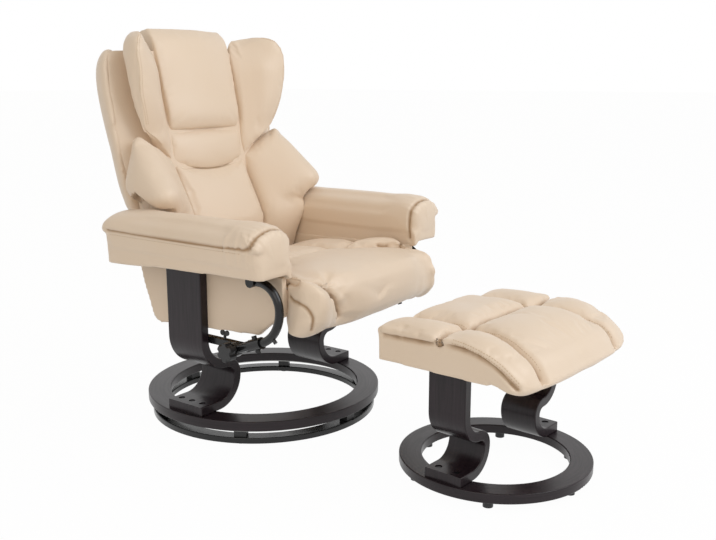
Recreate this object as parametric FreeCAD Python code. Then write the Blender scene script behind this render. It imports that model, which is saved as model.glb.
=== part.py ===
"""Swivel recliner with a matching footstool, in millimetres.

The chair is laid out about its swivel axis: +Z up, the sitter faces -Y, the sitter's right is -X.
The finished set is then moved so that the origin is the bottom centre of its box.
"""
import FreeCAD, Part
import math
import os

V = FreeCAD.Vector

# Shared fits and cuts
overrun = 2.0
running_fit = 0.05
loose_fit = 0.3
soft_gap = 0.4
edge_round = 2.5
quarter_angle = 90

# Half width of the seat box, which the widths of the rest follow
seat_half = 261.5

# Floor ring, ball race and turning ring
ring_overhang = 46.0
ring_width = 58.0
ring_thick = 24.0
ring_top_z = 62.0
floor_ring_width = 36.0
floor_ring_thick = 14.0
floor_pad_r = 12.0
floor_pad_thick = 3.0
spacer_count = 6
first_spacer_angle = 30.5
spacer_length = 30.0
spacer_width = 24.0
race_width = 28.0
race_thick = 4.0
race_gap = 4.0
ball_r = 4.0
ball_count = 24
cage_width = 18.0
cage_thick = 2.0
cage_fit = 0.2
track_fit = 0.1

# Bolts that hold the legs, the seat box, the side bars and the footstool together
bolt_shank_r = 4.0
bolt_length = 30.0
bolt_head_r = 6.5
bolt_head_thick = 5.0
bolt_recess = 7.0
bolt_recess_fit = 1.5
bolt_hole_fit = 0.2

# Chair legs: upright board, turn inwards, curl back out, flat foot
leg_thick = 23.0
leg_width = 117.0
leg_middle_y = -5.5
leg_top_z = 416.0
leg_turn_r = 71.0
curl_upper_r = 35.0
curl_lower_r = 67.0
foot_setback = 13.5
foot_bolt_inset = 24.0
foot_bolt_pitch = 36.0
seat_bolt_pitch = 60.0
seat_bolt_z = 334.0

# Side bars, pivot bolts, knobs and wing screws
bar_side = 16.0
bar_front_y = -192.0
bar_rear_y = 40.0
bar_bolt_pitch = 50.0
knob_pivot_y = -172.0
knob_pivot_z = 249.0
pivot_r = 6.0
pivot_head_r = 10.0
pivot_head_thick = 6.0
pivot_collar_r = 14.0
knob_r = 23.0
knob_thick = 20.0
knob_neck_r = 13.0
knob_neck_length = 5.0
knob_lobes = 6
knob_scallop_r = 6.0
knob_bore_share = 0.6
wing_screw_y = -110.0
wing_screw_r = 3.5
wing_stem = 15.0
wing_lobe_r = 6.5
wing_lobe_thick = 4.0
wing_spread = 7.0

# C-shaped levers from the knob pivot up into the arms
lever_inset = 39.0
tube_r = 10.0
lever_rise = 20.0
lever_straight = 90.0
lever_lower_r = 85.0
lever_upper_r = 60.0
lever_top_run = 15.0
pivot_hub_r = 17.0
pivot_arm_length = 62.0
sleeve_r = 14.0
sleeve_start = 54.0
sleeve_length = 38.0
sleeve_fit = 0.1
sleeve_bolt_r = 6.0
sleeve_bolt_stand = 6.5
stop_bolt_r = 4.5
stop_bolt_stand = 8.0
lever_eye_r = 12.0
hanger_pin_r = 5.0

# Seat box, panel and cushion
seat_rear_top_y = 174.0
seat_rear_low_y = 124.0
seat_rear_low_z = 264.0
seat_front_low_y = -225.0
seat_front_low_z = 287.0
seat_front_y = -292.0
seat_front_z = 345.0
seat_box_top_z = 424.0
seat_panel_front_z = 402.0
seat_panel_rear_z = 345.0
seat_wall = 16.0
seat_corner_r = 26.0
seat_panel_thick = 10.0
seat_cushion_gap = 4.0
seat_cushion_rear_y = 76.0
seat_cushion_depth = 478.0
seat_cushion_rise = 41.0
seat_channel = 13.0
column_shares = (-1, -0.94, -0.76, -0.53, -0.32, 0, 0.32, 0.53, 0.76, 0.94, 1)
column_pull_shares = (2, 0.6, 0, 1, 0.1, 0, 0.1, 1, 0, 0.6, 2)
# Corners of a cushion's profile from the low nose over the top to the rear: place in the depth, height,
# how far a pull moves the corner back and down, and the bow of the side that starts there
seat_profile_shares = (
    (0.860, -2.90, 0.3, -0.3, 0.15),
    (0.968, -1.85, 1.0, 0, 0.38),
    (0.937, 0.50, 1.0, 0.35, 0.65),
    (0.473, 0.95, 0, 0.40, 0.45),
    (0, 0.66, 0, 0.20, 0.10),
)

# Back hinge at the rear of the seat box
hinge_y = 160.0
hinge_z = 285.0
hinge_inset = 61.5
hinge_pin_r = 6.0
hinge_knuckle_r = 12.0
hinge_cheek_r = 14.0
hinge_cheek_thick = 6.0
hinge_leaf_low_z = 294.0
hinge_leaf_high_z = 334.0
hinge_leaf_thick = 5.0
strap_width = 36.0
strap_thick = 5.0
strap_reach_share = 0.34
strap_foot = 50.0

# Back, laid out upright on its board and then leaned
back_lean = 11.3
back_foot_y = 160.0
back_foot_z = 423.0
back_overhang = 48.0
back_length = 560.0
board_thick = 12.0
board_gap = 10.0
board_foot = 56.0
board_top_share = 0.85
board_shoulder_share = 0.76
board_top_half_share = 0.80
pad_depth = 100.0
shell_depth = 80.0
pad_puff = 12.0

# Rows of the back shell: station, half widths of its front edge, of its front recess and of its rear,
# depths of the same three, and the bow of its rear
shell_row_shares = (
    (-0.205, 0.640, 0.610, 0.600, 0.62, 0.62, 0.83, 0.05),
    (-0.018, 0.720, 0.680, 0.633, 0.25, 0.25, 0.90, 0.12),
    (0.116, 0.780, 0.740, 0.646, 0.215, 0.217, 0.97, 0.20),
    (0.250, 0.815, 0.775, 0.680, 0.20, 0.217, 1.00, 0.25),
    (0.393, 0.905, 0.822, 0.762, 0.08, 0.217, 0.92, 0.27),
    (0.571, 0.980, 0.830, 0.844, -0.12, 0.217, 0.82, 0.27),
    (0.750, 1.000, 0.830, 0.891, -0.28, 0.217, 0.70, 0.27),
    (0.857, 0.970, 0.810, 0.871, -0.30, 0.217, 0.60, 0.22),
    (0.902, 0.900, 0.750, 0.800, -0.26, 0.217, 0.50, 0.12),
)

# Rows of a wing and of a bolster: inner and outer station, inner and outer edge,
# inner and outer front depth, inner and outer rear depth, and the bow of the outer side
wing_row_shares = (
    (0.421, 0.552, 0.458, 0.800, 0.28, 0.48, 0.035, 0.08, 0.04),
    (0.571, 0.700, 0.458, 0.885, 0.32, 0.98, 0.035, 0.36, 0.04),
    (0.786, 0.875, 0.465, 0.905, 0.36, 1.20, 0.04, 0.58, 0.04),
    (0.929, 0.962, 0.483, 0.825, 0.40, 1.08, 0.12, 0.56, 0.04),
    (0.984, 0.992, 0.544, 0.710, 0.46, 0.82, 0.34, 0.52, 0.04),
)
bolster_row_shares = (
    (-0.098, -0.098, 0.448, 0.720, 0.36, 0.58, 0, 0, 0.03),
    (0.007, 0.007, 0.448, 0.750, 0.50, 0.88, 0, 0, 0.03),
    (0.104, 0.089, 0.448, 0.768, 0.72, 1.18, 0, 0, 0.03),
    (0.214, 0.188, 0.448, 0.785, 0.60, 1.22, 0, 0, 0.04),
    (0.262, 0.256, 0.450, 0.835, 0.50, 1.16, 0, 0.01, 0.05),
    (0.305, 0.305, 0.452, 1.000, 0.42, 1.02, 0, 0.04, 0.10),
    (0.345, 0.365, 0.454, 0.990, 0.33, 0.98, 0, 0.04, 0.08),
    (0.385, 0.445, 0.457, 0.925, 0.27, 0.88, 0, 0.02, 0.06),
    (0.413, 0.540, 0.459, 0.850, 0.24, 0.52, 0, 0.06, 0.04),
)

# Rows of the head pillow: station, half width, front depth, rear depth
pillow_row_shares = (
    (0.554, 0.415, 0.22, 0.02),
    (0.589, 0.425, 0.34, 0.01),
    (0.700, 0.440, 0.36, 0.015),
    (0.800, 0.445, 0.35, 0.035),
    (0.875, 0.447, 0.33, 0.05),
    (0.925, 0.447, 0.30, -0.10),
    (0.975, 0.445, 0.22, -0.34),
    (1.014, 0.430, 0.06, -0.20),
)

# Columns of the centre panel and of the neck roll
panel_half_share = 0.439
roll_half_share = 0.432
panel_column_shares = (-1, -0.5, 0, 0.5, 1)
panel_foot_share = -0.098
panel_low_share = 0.004
panel_lumbar_share = 0.104
panel_waist_share = 0.254
panel_smile_share = 0.372
panel_smile_rise_share = 0.036
panel_crown_shares = (0, 0.75, 1, 0.75, 0)
panel_crown = 10.0
panel_depth_shares = (0.30, 0.46, 0.70, 0.50, 0.20)
roll_low_share = 0.376
roll_top_share = 0.550
roll_depth_share = 0.20
roll_crown = 14.0

# Arm plates, arm frames, skirts, pads and hangers
seat_tuck = 15.5
arm_width = 109.0
arm_front_y = -318.0
arm_rear_y = 182.0
arm_low_front_z = 441.0
arm_low_rear_z = 428.0
arm_deck_z = 492.0
arm_deck_thick = 13.0
arm_board_thick = 12.0
arm_board_low_z = 440.0
arm_pad_height = 46.0
arm_pad_bow = 14.0
arm_plate_thick = 4.0
arm_plate_r = 15.0
arm_plate_foot = 40.0
arm_stud_r = 6.0
arm_stud_fit = 4.0
skirt_wall = 10.0
skirt_corner_r = 22.0
hanger_thick = 4.0
hanger_half_length = 18.0
hanger_gap = 1.0
# Stations along the arm pad from the rear: place, width and height
arm_pad_row_shares = (
    (0, 0.86, 0.60),
    (0.03, 0.95, 0.82),
    (0.08, 0.98, 0.94),
    (0.20, 0.98, 0.98),
    (0.40, 0.98, 1.00),
    (0.60, 0.98, 1.00),
    (0.80, 0.98, 1.00),
    (0.92, 0.98, 0.96),
    (0.97, 0.95, 0.84),
    (1.00, 0.88, 0.60),
)

# Footstool
stool_middle_x = -8.0
stool_middle_y = -706.0
stool_angle = -3.7
stool_ring_margin = 10.0
stool_ring_width = 51.0
stool_ring_thick = 22.0
stool_ring_top_z = 39.0
stool_foot_r = 11.0
stool_foot_count = 6
first_stool_foot_angle = 28.0
stool_leg_thick = 22.0
stool_leg_width = 92.0
stool_leg_inset = 53.0
stool_leg_turn_r = 52.0
stool_curl_upper_r = 27.0
stool_curl_lower_r = 53.0
stool_foot_reach = 21.0
stool_bolt_inset = 20.0
stool_bolt_pitch = 46.0
stool_half_width = 238.0
stool_front_y = -138.0
stool_rear_y = 146.0
stool_apron_low_z = 284.0
stool_apron_top_z = 326.0
stool_apron_wall = 14.0
stool_board_thick = 12.0
stool_cushion_depth = 362.0
stool_cushion_rear_y = 150.0
stool_cushion_rise = 35.0
stool_channel = 9.0
stool_profile_shares = (
    (0.945, -1.55, 0.3, -0.1, 0.10),
    (1.000, -1.05, 0.3, 0.3, 0.30),
    (0.770, 0.66, 0.3, 0.40, 0.22),
    (0.500, 0.84, 0, 0.50, 0.30),
    (0, 0.54, 0, 0.30, 0.10),
)

# Sizes that follow
stool_leg_middle_x = stool_half_width - stool_leg_inset
stool_foot_end_x = stool_leg_middle_x + stool_foot_reach
stool_ring_outer_r = stool_foot_end_x + stool_ring_margin
ring_outer_r = seat_half + ring_overhang
ring_inner_r = ring_outer_r - ring_width
ring_low_z = ring_top_z - ring_thick
race_mid_r = ring_outer_r - ring_width / 2
floor_ring_outer_r = race_mid_r + floor_ring_width / 2
race_low_z = ring_low_z - race_gap / 2
race_high_z = ring_low_z + race_gap / 2
race_outer_r = race_mid_r + race_width / 2
race_inner_r = race_mid_r - race_width / 2
floor_ring_top_z = floor_pad_thick + floor_ring_thick
leg_inner_x = seat_half
leg_middle_x = leg_inner_x + leg_thick / 2
foot_end_x = ring_outer_r - foot_setback
seat_panel_top_z = seat_panel_front_z + seat_panel_thick
arm_inner_x = seat_half - seat_tuck
arm_outer_x = arm_inner_x + arm_width
lever_x = arm_inner_x + lever_inset
lever_moves = (
    (lever_straight, 0),
    (lever_lower_r, lever_rise - quarter_angle),
    (lever_upper_r, -quarter_angle),
    (lever_top_run, 0),
)
hinge_x = seat_half - hinge_inset
back_half = arm_inner_x + back_overhang
board_low_half = arm_inner_x - board_gap
board_top = back_length * board_top_share
arm_deck_top_z = arm_deck_z + arm_deck_thick


def box(x_span, y_span, z_span):
    """Block between the low and high end of each span."""
    sizes = [span[1] - span[0] for span in (x_span, y_span, z_span)]
    return Part.makeBox(*sizes, V(x_span[0], y_span[0], z_span[0]))


def rod(start, end, radius):
    """Round bar from start to end."""
    return Part.makeCylinder(radius, (end - start).Length, start, end - start)


def cross_rod(y, z, x_start, x_end, radius):
    """Round bar that runs across the chair."""
    return rod(V(x_start, y, z), V(x_end, y, z), radius)


def ring(outer_r, inner_r, low_z, high_z):
    """Flat ring about the Z axis."""
    disc = rod(V(0, 0, low_z), V(0, 0, high_z), outer_r)
    return disc.cut(rod(V(0, 0, low_z - overrun), V(0, 0, high_z + overrun), inner_r))


def side_plate(points, x_span):
    """Plate of the given (y, z) outline, between two x values."""
    corners = [V(x_span[0], y, z) for y, z in points]
    face = Part.Face(Part.makePolygon(corners + corners[:1]))
    return face.extrude(V(x_span[1] - x_span[0], 0, 0))


def mirrored(shape):
    """The same piece on the sitter's right."""
    return shape.mirror(V(0, 0, 0), V(1, 0, 0))


def around(shape, count, first_angle):
    """Copies of a shape, evenly spaced about the Z axis."""
    copies = []
    for index in range(count):
        copy = shape.copy()
        copy.rotate(V(0, 0, 0), V(0, 0, 1), first_angle + index * 4 * quarter_angle / count)
        copies.append(copy)
    return copies


def path_edges(place, start, heading, moves, offset=0):
    """Edges of a line of straight runs (length, 0) and bends (radius, degrees), shifted to its left."""
    a, b = start
    angle = math.radians(heading)
    edges = []
    for size, turn in moves:
        here = place(a - offset * math.sin(angle), b + offset * math.cos(angle))
        if turn:
            side = math.copysign(1, turn)
            middle_a = a - side * size * math.sin(angle)
            middle_b = b + side * size * math.cos(angle)
            reach = size - side * offset
            half_way = angle + math.radians(turn) / 2
            angle += math.radians(turn)
            a = middle_a + side * size * math.sin(angle)
            b = middle_b - side * size * math.cos(angle)
            top = place(middle_a + side * reach * math.sin(half_way), middle_b - side * reach * math.cos(half_way))
            there = place(middle_a + side * reach * math.sin(angle), middle_b - side * reach * math.cos(angle))
            edges.append(Part.Arc(here, top, there).toShape())
        else:
            a += size * math.cos(angle)
            b += size * math.sin(angle)
            there = place(a - offset * math.sin(angle), b + offset * math.cos(angle))
            edges.append(Part.LineSegment(here, there).toShape())
    return edges


def strip_face(place, start, heading, moves, thickness):
    """Face of a bent strip of even thickness."""
    left = path_edges(place, start, heading, moves, thickness / 2)
    right = path_edges(place, start, heading, moves, -thickness / 2)
    ends = []
    for left_edge, right_edge, index in ((left[0], right[0], 0), (left[-1], right[-1], -1)):
        ends.append(Part.LineSegment(left_edge.Vertexes[index].Point, right_edge.Vertexes[index].Point).toShape())
    return Part.Face(Part.Wire(Part.__sortEdges__(left + right + ends)))


def bowed_wire(corners, bows):
    """Closed wire through the corners, with each side bowed outwards by its own height."""
    middle = V(0, 0, 0)
    for corner in corners:
        middle += corner * (1 / len(corners))
    edges = []
    for index, bow in enumerate(bows):
        start = corners[index]
        end = corners[(index + 1) % len(corners)]
        half_way = (start + end) * (1 / 2)
        along = (end - start).normalize()
        outward = half_way - middle
        outward = (outward - along * outward.dot(along)).normalize()
        if bow:
            edges.append(Part.Arc(start, half_way + outward * bow, end).toShape())
        else:
            edges.append(Part.LineSegment(start, end).toShape())
    return Part.Wire(edges)


def loft(wires):
    """Smooth closed solid through the wires."""
    return Part.makeLoft(wires, True, False)


def bolt(seat, direction):
    """Bolt with its head on the seat and its shank along the direction."""
    head = rod(seat, seat - direction * bolt_head_thick, bolt_head_r)
    return head.fuse(rod(seat, seat + direction * bolt_length, bolt_shank_r)).removeSplitter()


def bolt_hole(seat, direction):
    """Clearance for a bolt: shank below the seat, head recess above it."""
    shank_r = bolt_shank_r + bolt_hole_fit
    shank = rod(seat - direction * overrun, seat + direction * (bolt_length + overrun), shank_r)
    recess = rod(seat, seat - direction * (bolt_recess + overrun), bolt_head_r + bolt_recess_fit)
    return shank.fuse(recess)


def bent_leg(middle_x, middle_y, top_z, foot_z, thick, width, turn_r, upper_r, lower_r, end_x):
    """S-shaped leg on the sitter's left, of bent laminated wood, with eased edges."""
    foot_middle_z = foot_z + thick / 2
    drop = top_z - foot_middle_z - lower_r - upper_r - turn_r
    foot_run = end_x - (middle_x - turn_r - upper_r + lower_r)
    moves = ((drop, 0), (turn_r, -quarter_angle), (upper_r, quarter_angle), (lower_r, quarter_angle), (foot_run, 0))
    front_y = middle_y - width / 2
    leg = strip_face(lambda a, b: V(a, front_y, b), (middle_x, top_z), -quarter_angle, moves, thick)
    leg = leg.extrude(V(0, width, 0))
    long_edges = []
    for edge in leg.Edges:
        spread = edge.BoundBox
        if spread.YLength < overrun and spread.ZMax < top_z - edge_round or spread.ZLength > thick:
            long_edges.append(edge)
    return leg.makeFillet(edge_round, long_edges)


def make_base(nodes):
    """Floor ring on its pads, and the ball race that the chair turns on."""
    pad = rod(V(floor_ring_outer_r - floor_ring_width / 2, 0, 0),
              V(floor_ring_outer_r - floor_ring_width / 2, 0, floor_pad_thick), floor_pad_r)
    nodes["floor_pads"] = around(pad, spacer_count, first_spacer_angle)
    floor_ring = ring(floor_ring_outer_r, floor_ring_outer_r - floor_ring_width, floor_pad_thick, floor_ring_top_z)
    top_edges = [edge for edge in floor_ring.Edges if edge.BoundBox.ZMin > floor_ring_top_z - overrun
                 and edge.BoundBox.ZLength < overrun]
    nodes["floor_ring"] = [floor_ring.makeFillet(edge_round, top_edges)]
    block = box((race_mid_r - spacer_width / 2, race_mid_r + spacer_width / 2),
                (-spacer_length / 2, spacer_length / 2), (floor_ring_top_z, race_low_z - race_thick))
    nodes["spacer_blocks"] = around(block, spacer_count, first_spacer_angle)
    track = Part.makeTorus(race_mid_r, ball_r + track_fit, V(0, 0, ring_low_z))
    nodes["lower_race"] = [ring(race_outer_r, race_inner_r, race_low_z - race_thick, race_low_z).cut(track)]
    nodes["upper_race"] = [ring(race_outer_r, race_inner_r, race_high_z, race_high_z + race_thick).cut(track)]
    balls = around(Part.makeSphere(ball_r, V(race_mid_r, 0, ring_low_z)), ball_count, 0)
    nodes["bearing_balls"] = balls
    cage = ring(race_mid_r + cage_width / 2, race_mid_r - cage_width / 2,
                ring_low_z - cage_thick / 2, ring_low_z + cage_thick / 2)
    pocket = rod(V(race_mid_r, 0, ring_low_z - cage_thick), V(race_mid_r, 0, ring_low_z + cage_thick),
                 ball_r + cage_fit)
    nodes["ball_cage"] = [cage.cut(around(pocket, ball_count, 0))]


def make_turning_ring(nodes, holes):
    """Wood ring with a groove for the upper race."""
    wood_ring = ring(ring_outer_r, ring_inner_r, ring_low_z, ring_top_z)
    round_edges = [edge for edge in wood_ring.Edges if edge.BoundBox.ZLength < overrun]
    wood_ring = wood_ring.makeFillet(edge_round, round_edges)
    groove = ring(race_outer_r + loose_fit, race_inner_r - loose_fit, ring_low_z - overrun, race_high_z + race_thick)
    nodes["wood_ring"] = [wood_ring.cut([groove] + holes)]


def leg_bolt_seats():
    """Seats and directions of the bolts on the sitter's left, by the piece that they pass through first."""
    foot_seat_z = ring_top_z + leg_thick - bolt_recess
    foot_x = foot_end_x - foot_bolt_inset
    foot = [(V(foot_x, leg_middle_y + step * foot_bolt_pitch, foot_seat_z), V(0, 0, -1)) for step in (-1, 0, 1)]
    seat = [(V(seat_half - seat_wall, leg_middle_y + side * seat_bolt_pitch / 2, seat_bolt_z), V(1, 0, 0))
            for side in (-1, 1)]
    bar = [(V(leg_inner_x - bar_side, leg_middle_y + side * bar_bolt_pitch / 2, knob_pivot_z), V(1, 0, 0))
           for side in (-1, 1)]
    return foot + seat + bar


def make_legs(nodes):
    """Both legs, their bolts and the ring that they stand on."""
    seats = leg_bolt_seats()
    holes = [bolt_hole(*seat) for seat in seats]
    leg = bent_leg(leg_middle_x, leg_middle_y, leg_top_z, ring_top_z, leg_thick, leg_width,
                   leg_turn_r, curl_upper_r, curl_lower_r, foot_end_x)
    nodes["left_leg"] = [leg.cut(holes)]
    nodes["right_leg"] = [mirrored(nodes["left_leg"][0])]
    bolts = [bolt(*seat) for seat in seats]
    nodes["leg_bolts"] = bolts + [mirrored(piece) for piece in bolts]
    make_turning_ring(nodes, holes + [mirrored(hole) for hole in holes])
    return holes


def make_side_bars(nodes, holes):
    """Square bars from the legs to the knobs, with the pivot bolts and wing screws that they carry."""
    bar_low_z = knob_pivot_z - bar_side / 2
    bar_high_z = knob_pivot_z + bar_side / 2
    inner_x = leg_inner_x - bar_side
    bar = box((inner_x, leg_inner_x), (bar_front_y, bar_rear_y), (bar_low_z, bar_high_z))
    bolt_end_x = lever_x + tube_r + knob_neck_length + knob_thick * knob_bore_share
    pivot = cross_rod(knob_pivot_y, knob_pivot_z, inner_x, bolt_end_x, pivot_r)
    head = cross_rod(knob_pivot_y, knob_pivot_z, inner_x - pivot_head_thick, inner_x, pivot_head_r)
    collar = cross_rod(knob_pivot_y, knob_pivot_z, leg_inner_x, lever_x - tube_r - loose_fit, pivot_collar_r)
    pivot_bolt = pivot.fuse([head, collar]).removeSplitter()
    middle_x = leg_inner_x - bar_side / 2
    lobe_z = bar_high_z + wing_stem
    stem = rod(V(middle_x, wing_screw_y, bar_high_z), V(middle_x, wing_screw_y, lobe_z), wing_screw_r)
    lobes = [cross_rod(wing_screw_y + side * wing_spread, lobe_z, middle_x - wing_lobe_thick / 2,
                       middle_x + wing_lobe_thick / 2, wing_lobe_r) for side in (-1, 1)]
    wing_screw = stem.fuse(lobes).removeSplitter()
    bar = bar.cut(holes + [pivot] + nodes["left_leg"])
    nodes["left_side_bar"] = [bar]
    nodes["right_side_bar"] = [mirrored(bar)]
    nodes["pivot_bolts"] = [pivot_bolt, mirrored(pivot_bolt)]
    nodes["wing_screws"] = [wing_screw, mirrored(wing_screw)]


def make_knobs(nodes):
    """Lobed clamp knobs on the ends of the pivot bolts."""
    neck_x = lever_x + tube_r + loose_fit
    head_x = neck_x + knob_neck_length
    neck = cross_rod(knob_pivot_y, knob_pivot_z, neck_x, head_x, knob_neck_r)
    head = cross_rod(knob_pivot_y, knob_pivot_z, head_x, head_x + knob_thick, knob_r)
    rim = [edge for edge in head.Edges if edge.BoundBox.XMin > head_x + overrun]
    head = head.makeFillet(edge_round, rim)
    scallops = []
    for index in range(knob_lobes):
        turn = 2 * math.pi * index / knob_lobes
        scallops.append(cross_rod(knob_pivot_y + knob_r * math.cos(turn), knob_pivot_z + knob_r * math.sin(turn),
                                  head_x - overrun, head_x + knob_thick + overrun, knob_scallop_r))
    bore = cross_rod(knob_pivot_y, knob_pivot_z, neck_x - overrun,
                     lever_x + tube_r + knob_neck_length + knob_thick * knob_bore_share + loose_fit,
                     pivot_r + running_fit)
    knob = head.cut(scallops).fuse(neck).cut(bore).removeSplitter()
    nodes["left_knob"] = [knob]
    nodes["right_knob"] = [mirrored(knob)]


def lever_point(distance):
    """Point on the straight part of a lever, at a distance from the knob pivot."""
    rise = math.radians(lever_rise)
    return V(lever_x, knob_pivot_y - distance * math.cos(rise), knob_pivot_z + distance * math.sin(rise))


def lever_top():
    """Centre of the eye at the top of a lever, in the arm."""
    rise = math.radians(lever_rise)
    forward = lever_straight * math.cos(rise) + lever_lower_r * (1 - math.sin(rise))
    up = lever_straight * math.sin(rise) + lever_lower_r * math.cos(rise) + lever_upper_r
    return V(lever_x, knob_pivot_y - forward + lever_upper_r + lever_top_run, knob_pivot_z + up)


def arm_pivot():
    """Centre of the stud that joins an arm to the back: the fourth corner of the parallelogram."""
    shift = lever_top() - V(lever_x, knob_pivot_y, knob_pivot_z)
    return V(arm_inner_x, hinge_y + shift.y, hinge_z + shift.z)


def make_levers(nodes):
    """Pivot arm, clamp sleeve and C tube of each lever."""
    half = tube_r
    hub = cross_rod(knob_pivot_y, knob_pivot_z, lever_x - half, lever_x + half, pivot_hub_r)
    arm = hub.fuse(rod(lever_point(0), lever_point(pivot_arm_length), tube_r)).removeSplitter()
    bore = cross_rod(knob_pivot_y, knob_pivot_z, lever_x - half - overrun, lever_x + half + overrun,
                     pivot_r + running_fit)
    start = lever_point(pivot_arm_length)
    moves = ((lever_straight - pivot_arm_length, 0),) + lever_moves[1:]
    heading = 2 * quarter_angle - lever_rise
    path = Part.Wire(path_edges(lambda a, b: V(lever_x, a, b), (start.y, start.z), heading, moves))
    section = Part.Wire(Part.makeCircle(tube_r, start, start - lever_point(0)))
    tube = path.makePipeShell([section], True, False)
    top = lever_top()
    eye = cross_rod(top.y, top.z, lever_x - half, lever_x + half, lever_eye_r)
    eye_bore = cross_rod(top.y, top.z, lever_x - half - overrun, lever_x + half + overrun, hanger_pin_r + loose_fit)
    bend_middle = lever_point(lever_straight) + V(0, math.sin(math.radians(lever_rise)),
                                                  math.cos(math.radians(lever_rise))) * lever_lower_r
    stop_way = V(0, -1, -1).normalize()
    stop_foot = bend_middle + stop_way * lever_lower_r
    stop_bolt = rod(stop_foot, stop_foot + stop_way * (tube_r + stop_bolt_stand), stop_bolt_r)
    tube = tube.fuse([eye, stop_bolt]).cut(eye_bore).removeSplitter()
    sleeve_end = sleeve_start + sleeve_length
    sleeve = rod(lever_point(sleeve_start), lever_point(sleeve_end), sleeve_r)
    middle = lever_point(sleeve_start + sleeve_length / 2)
    upright = V(0, math.sin(math.radians(lever_rise)), math.cos(math.radians(lever_rise)))
    reach = sleeve_r + sleeve_bolt_stand
    cross_bolt = rod(middle - upright * reach, middle + upright * reach, sleeve_bolt_r)
    inner = rod(lever_point(sleeve_start - overrun), lever_point(sleeve_end + overrun), tube_r + sleeve_fit)
    sleeve = sleeve.fuse(cross_bolt).cut(inner).removeSplitter()
    for name, piece in (("pivot_arm", arm.cut(bore)), ("lever_tube", tube), ("clamp_sleeve", sleeve)):
        nodes["left_" + name] = [piece]
        nodes["right_" + name] = [mirrored(piece)]


def seat_rear_y(z):
    """Rear face of the seat box at a height."""
    slope = (seat_rear_top_y - seat_rear_low_y) / (seat_box_top_z - seat_rear_low_z)
    return seat_rear_low_y + (z - seat_rear_low_z) * slope


def make_seat(nodes, holes):
    """Seat box open below, the sloping panel between its sides and the sewn cushion on it."""
    outline = [(seat_rear_top_y, seat_box_top_z), (seat_rear_low_y, seat_rear_low_z),
               (seat_front_low_y, seat_front_low_z), (seat_front_y, seat_front_z), (seat_front_y, seat_box_top_z)]
    block = side_plate(outline, (-seat_half, seat_half))
    low_rear = [edge for edge in block.Edges if edge.BoundBox.ZMax < seat_rear_low_z + overrun
                and edge.BoundBox.XLength > seat_half]
    block = block.makeFillet(seat_corner_r, low_rear)
    slope = math.atan2(seat_rear_top_y - seat_rear_low_y, seat_box_top_z - seat_rear_low_z)
    rear_wall = seat_wall / math.cos(slope)
    deep_z = seat_rear_low_z - seat_wall
    high_z = seat_box_top_z + overrun
    inside = (-seat_half + seat_wall, seat_half - seat_wall)
    hollow = side_plate([(seat_rear_y(high_z) - rear_wall, high_z), (seat_rear_y(deep_z) - rear_wall, deep_z),
                         (seat_front_y + seat_wall, deep_z), (seat_front_y + seat_wall, high_z)], inside)
    panel_rear_y = seat_rear_y(seat_panel_rear_z)
    fall = (seat_panel_front_z - seat_panel_rear_z) / (panel_rear_y - seat_front_y)
    front_end = (seat_front_y - overrun, seat_panel_front_z + overrun * fall)
    rear_end = (seat_rear_top_y + overrun, seat_panel_rear_z - (seat_rear_top_y + overrun - panel_rear_y) * fall)
    dip = side_plate([front_end, rear_end, (rear_end[0], high_z), (front_end[0], high_z)], inside)
    nodes["seat_box"] = [block.cut([hollow, dip] + holes)]
    panel_outline = [(seat_front_y, seat_panel_front_z), (panel_rear_y, seat_panel_rear_z),
                     (panel_rear_y, seat_panel_rear_z + seat_panel_thick), (seat_front_y, seat_panel_top_z)]
    nodes["seat_panel"] = [side_plate(panel_outline, (inside[0] + loose_fit, inside[1] - loose_fit))]
    nodes["seat_cushion"] = [sewn_cushion(
        arm_inner_x - seat_cushion_gap, seat_cushion_rear_y, seat_front_y, seat_cushion_depth, seat_panel_top_z,
        fall, seat_cushion_rise, seat_channel, seat_profile_shares)]


def sewn_cushion(half, rear_y, step_y, depth, low_z, fall, rise, channel, profile_shares):
    """Cushion of three sewn columns with a cross fold, whose front rolls down over the box below it."""
    step_front_y = step_y - soft_gap
    base_z = low_z + soft_gap
    wires = []
    for column_share, pull_share in zip(column_shares, column_pull_shares):
        x = half * column_share
        pull = channel * pull_share
        corners = []
        bows = [0, 0, 0]
        for y_share, z_share, back_share, down_share, bow_share in profile_shares:
            y = rear_y - depth * y_share
            ground_z = base_z - max(y - step_y, 0) * fall
            corners.append(V(x, y + pull * back_share, ground_z + rise * z_share - pull * down_share))
            bows.append(rise * bow_share / (1 + pull_share / 2))
        under = [V(x, rear_y, base_z - (rear_y - step_y) * fall), V(x, step_front_y, base_z),
                 V(x, step_front_y, corners[0].z + channel)]
        wires.append(bowed_wire(under + corners, bows))
    return loft(wires)


def lean(shape):
    """Set a piece of the upright back on its foot and lean it."""
    shape = shape.copy()
    shape.rotate(V(0, 0, 0), V(1, 0, 0), -back_lean)
    shape.translate(V(0, back_foot_y, back_foot_z))
    return shape


def upright(point):
    """Place in the upright back of a point of the chair."""
    angle = math.radians(back_lean)
    y = point.y - back_foot_y
    z = point.z - back_foot_z
    return V(point.x, y * math.cos(angle) - z * math.sin(angle), y * math.sin(angle) + z * math.cos(angle))


def pad_wire(shares):
    """Section of a wing or bolster on the sitter's left, flat towards the board and puffed in front."""
    in_share, out_share, inner_share, outer_share, front_in, front_out, rear_in, rear_out, bow = shares
    inner_x = back_half * inner_share
    outer_x = back_half * outer_share
    in_z = back_length * in_share
    out_z = back_length * out_share
    corners = [V(inner_x, -pad_depth * rear_in - soft_gap, in_z), V(inner_x, -pad_depth * front_in, in_z),
               V(outer_x, -pad_depth * front_out, out_z), V(outer_x, -pad_depth * rear_out - soft_gap, out_z)]
    return bowed_wire(corners, (0, pad_puff, pad_depth * bow, 0))


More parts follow.
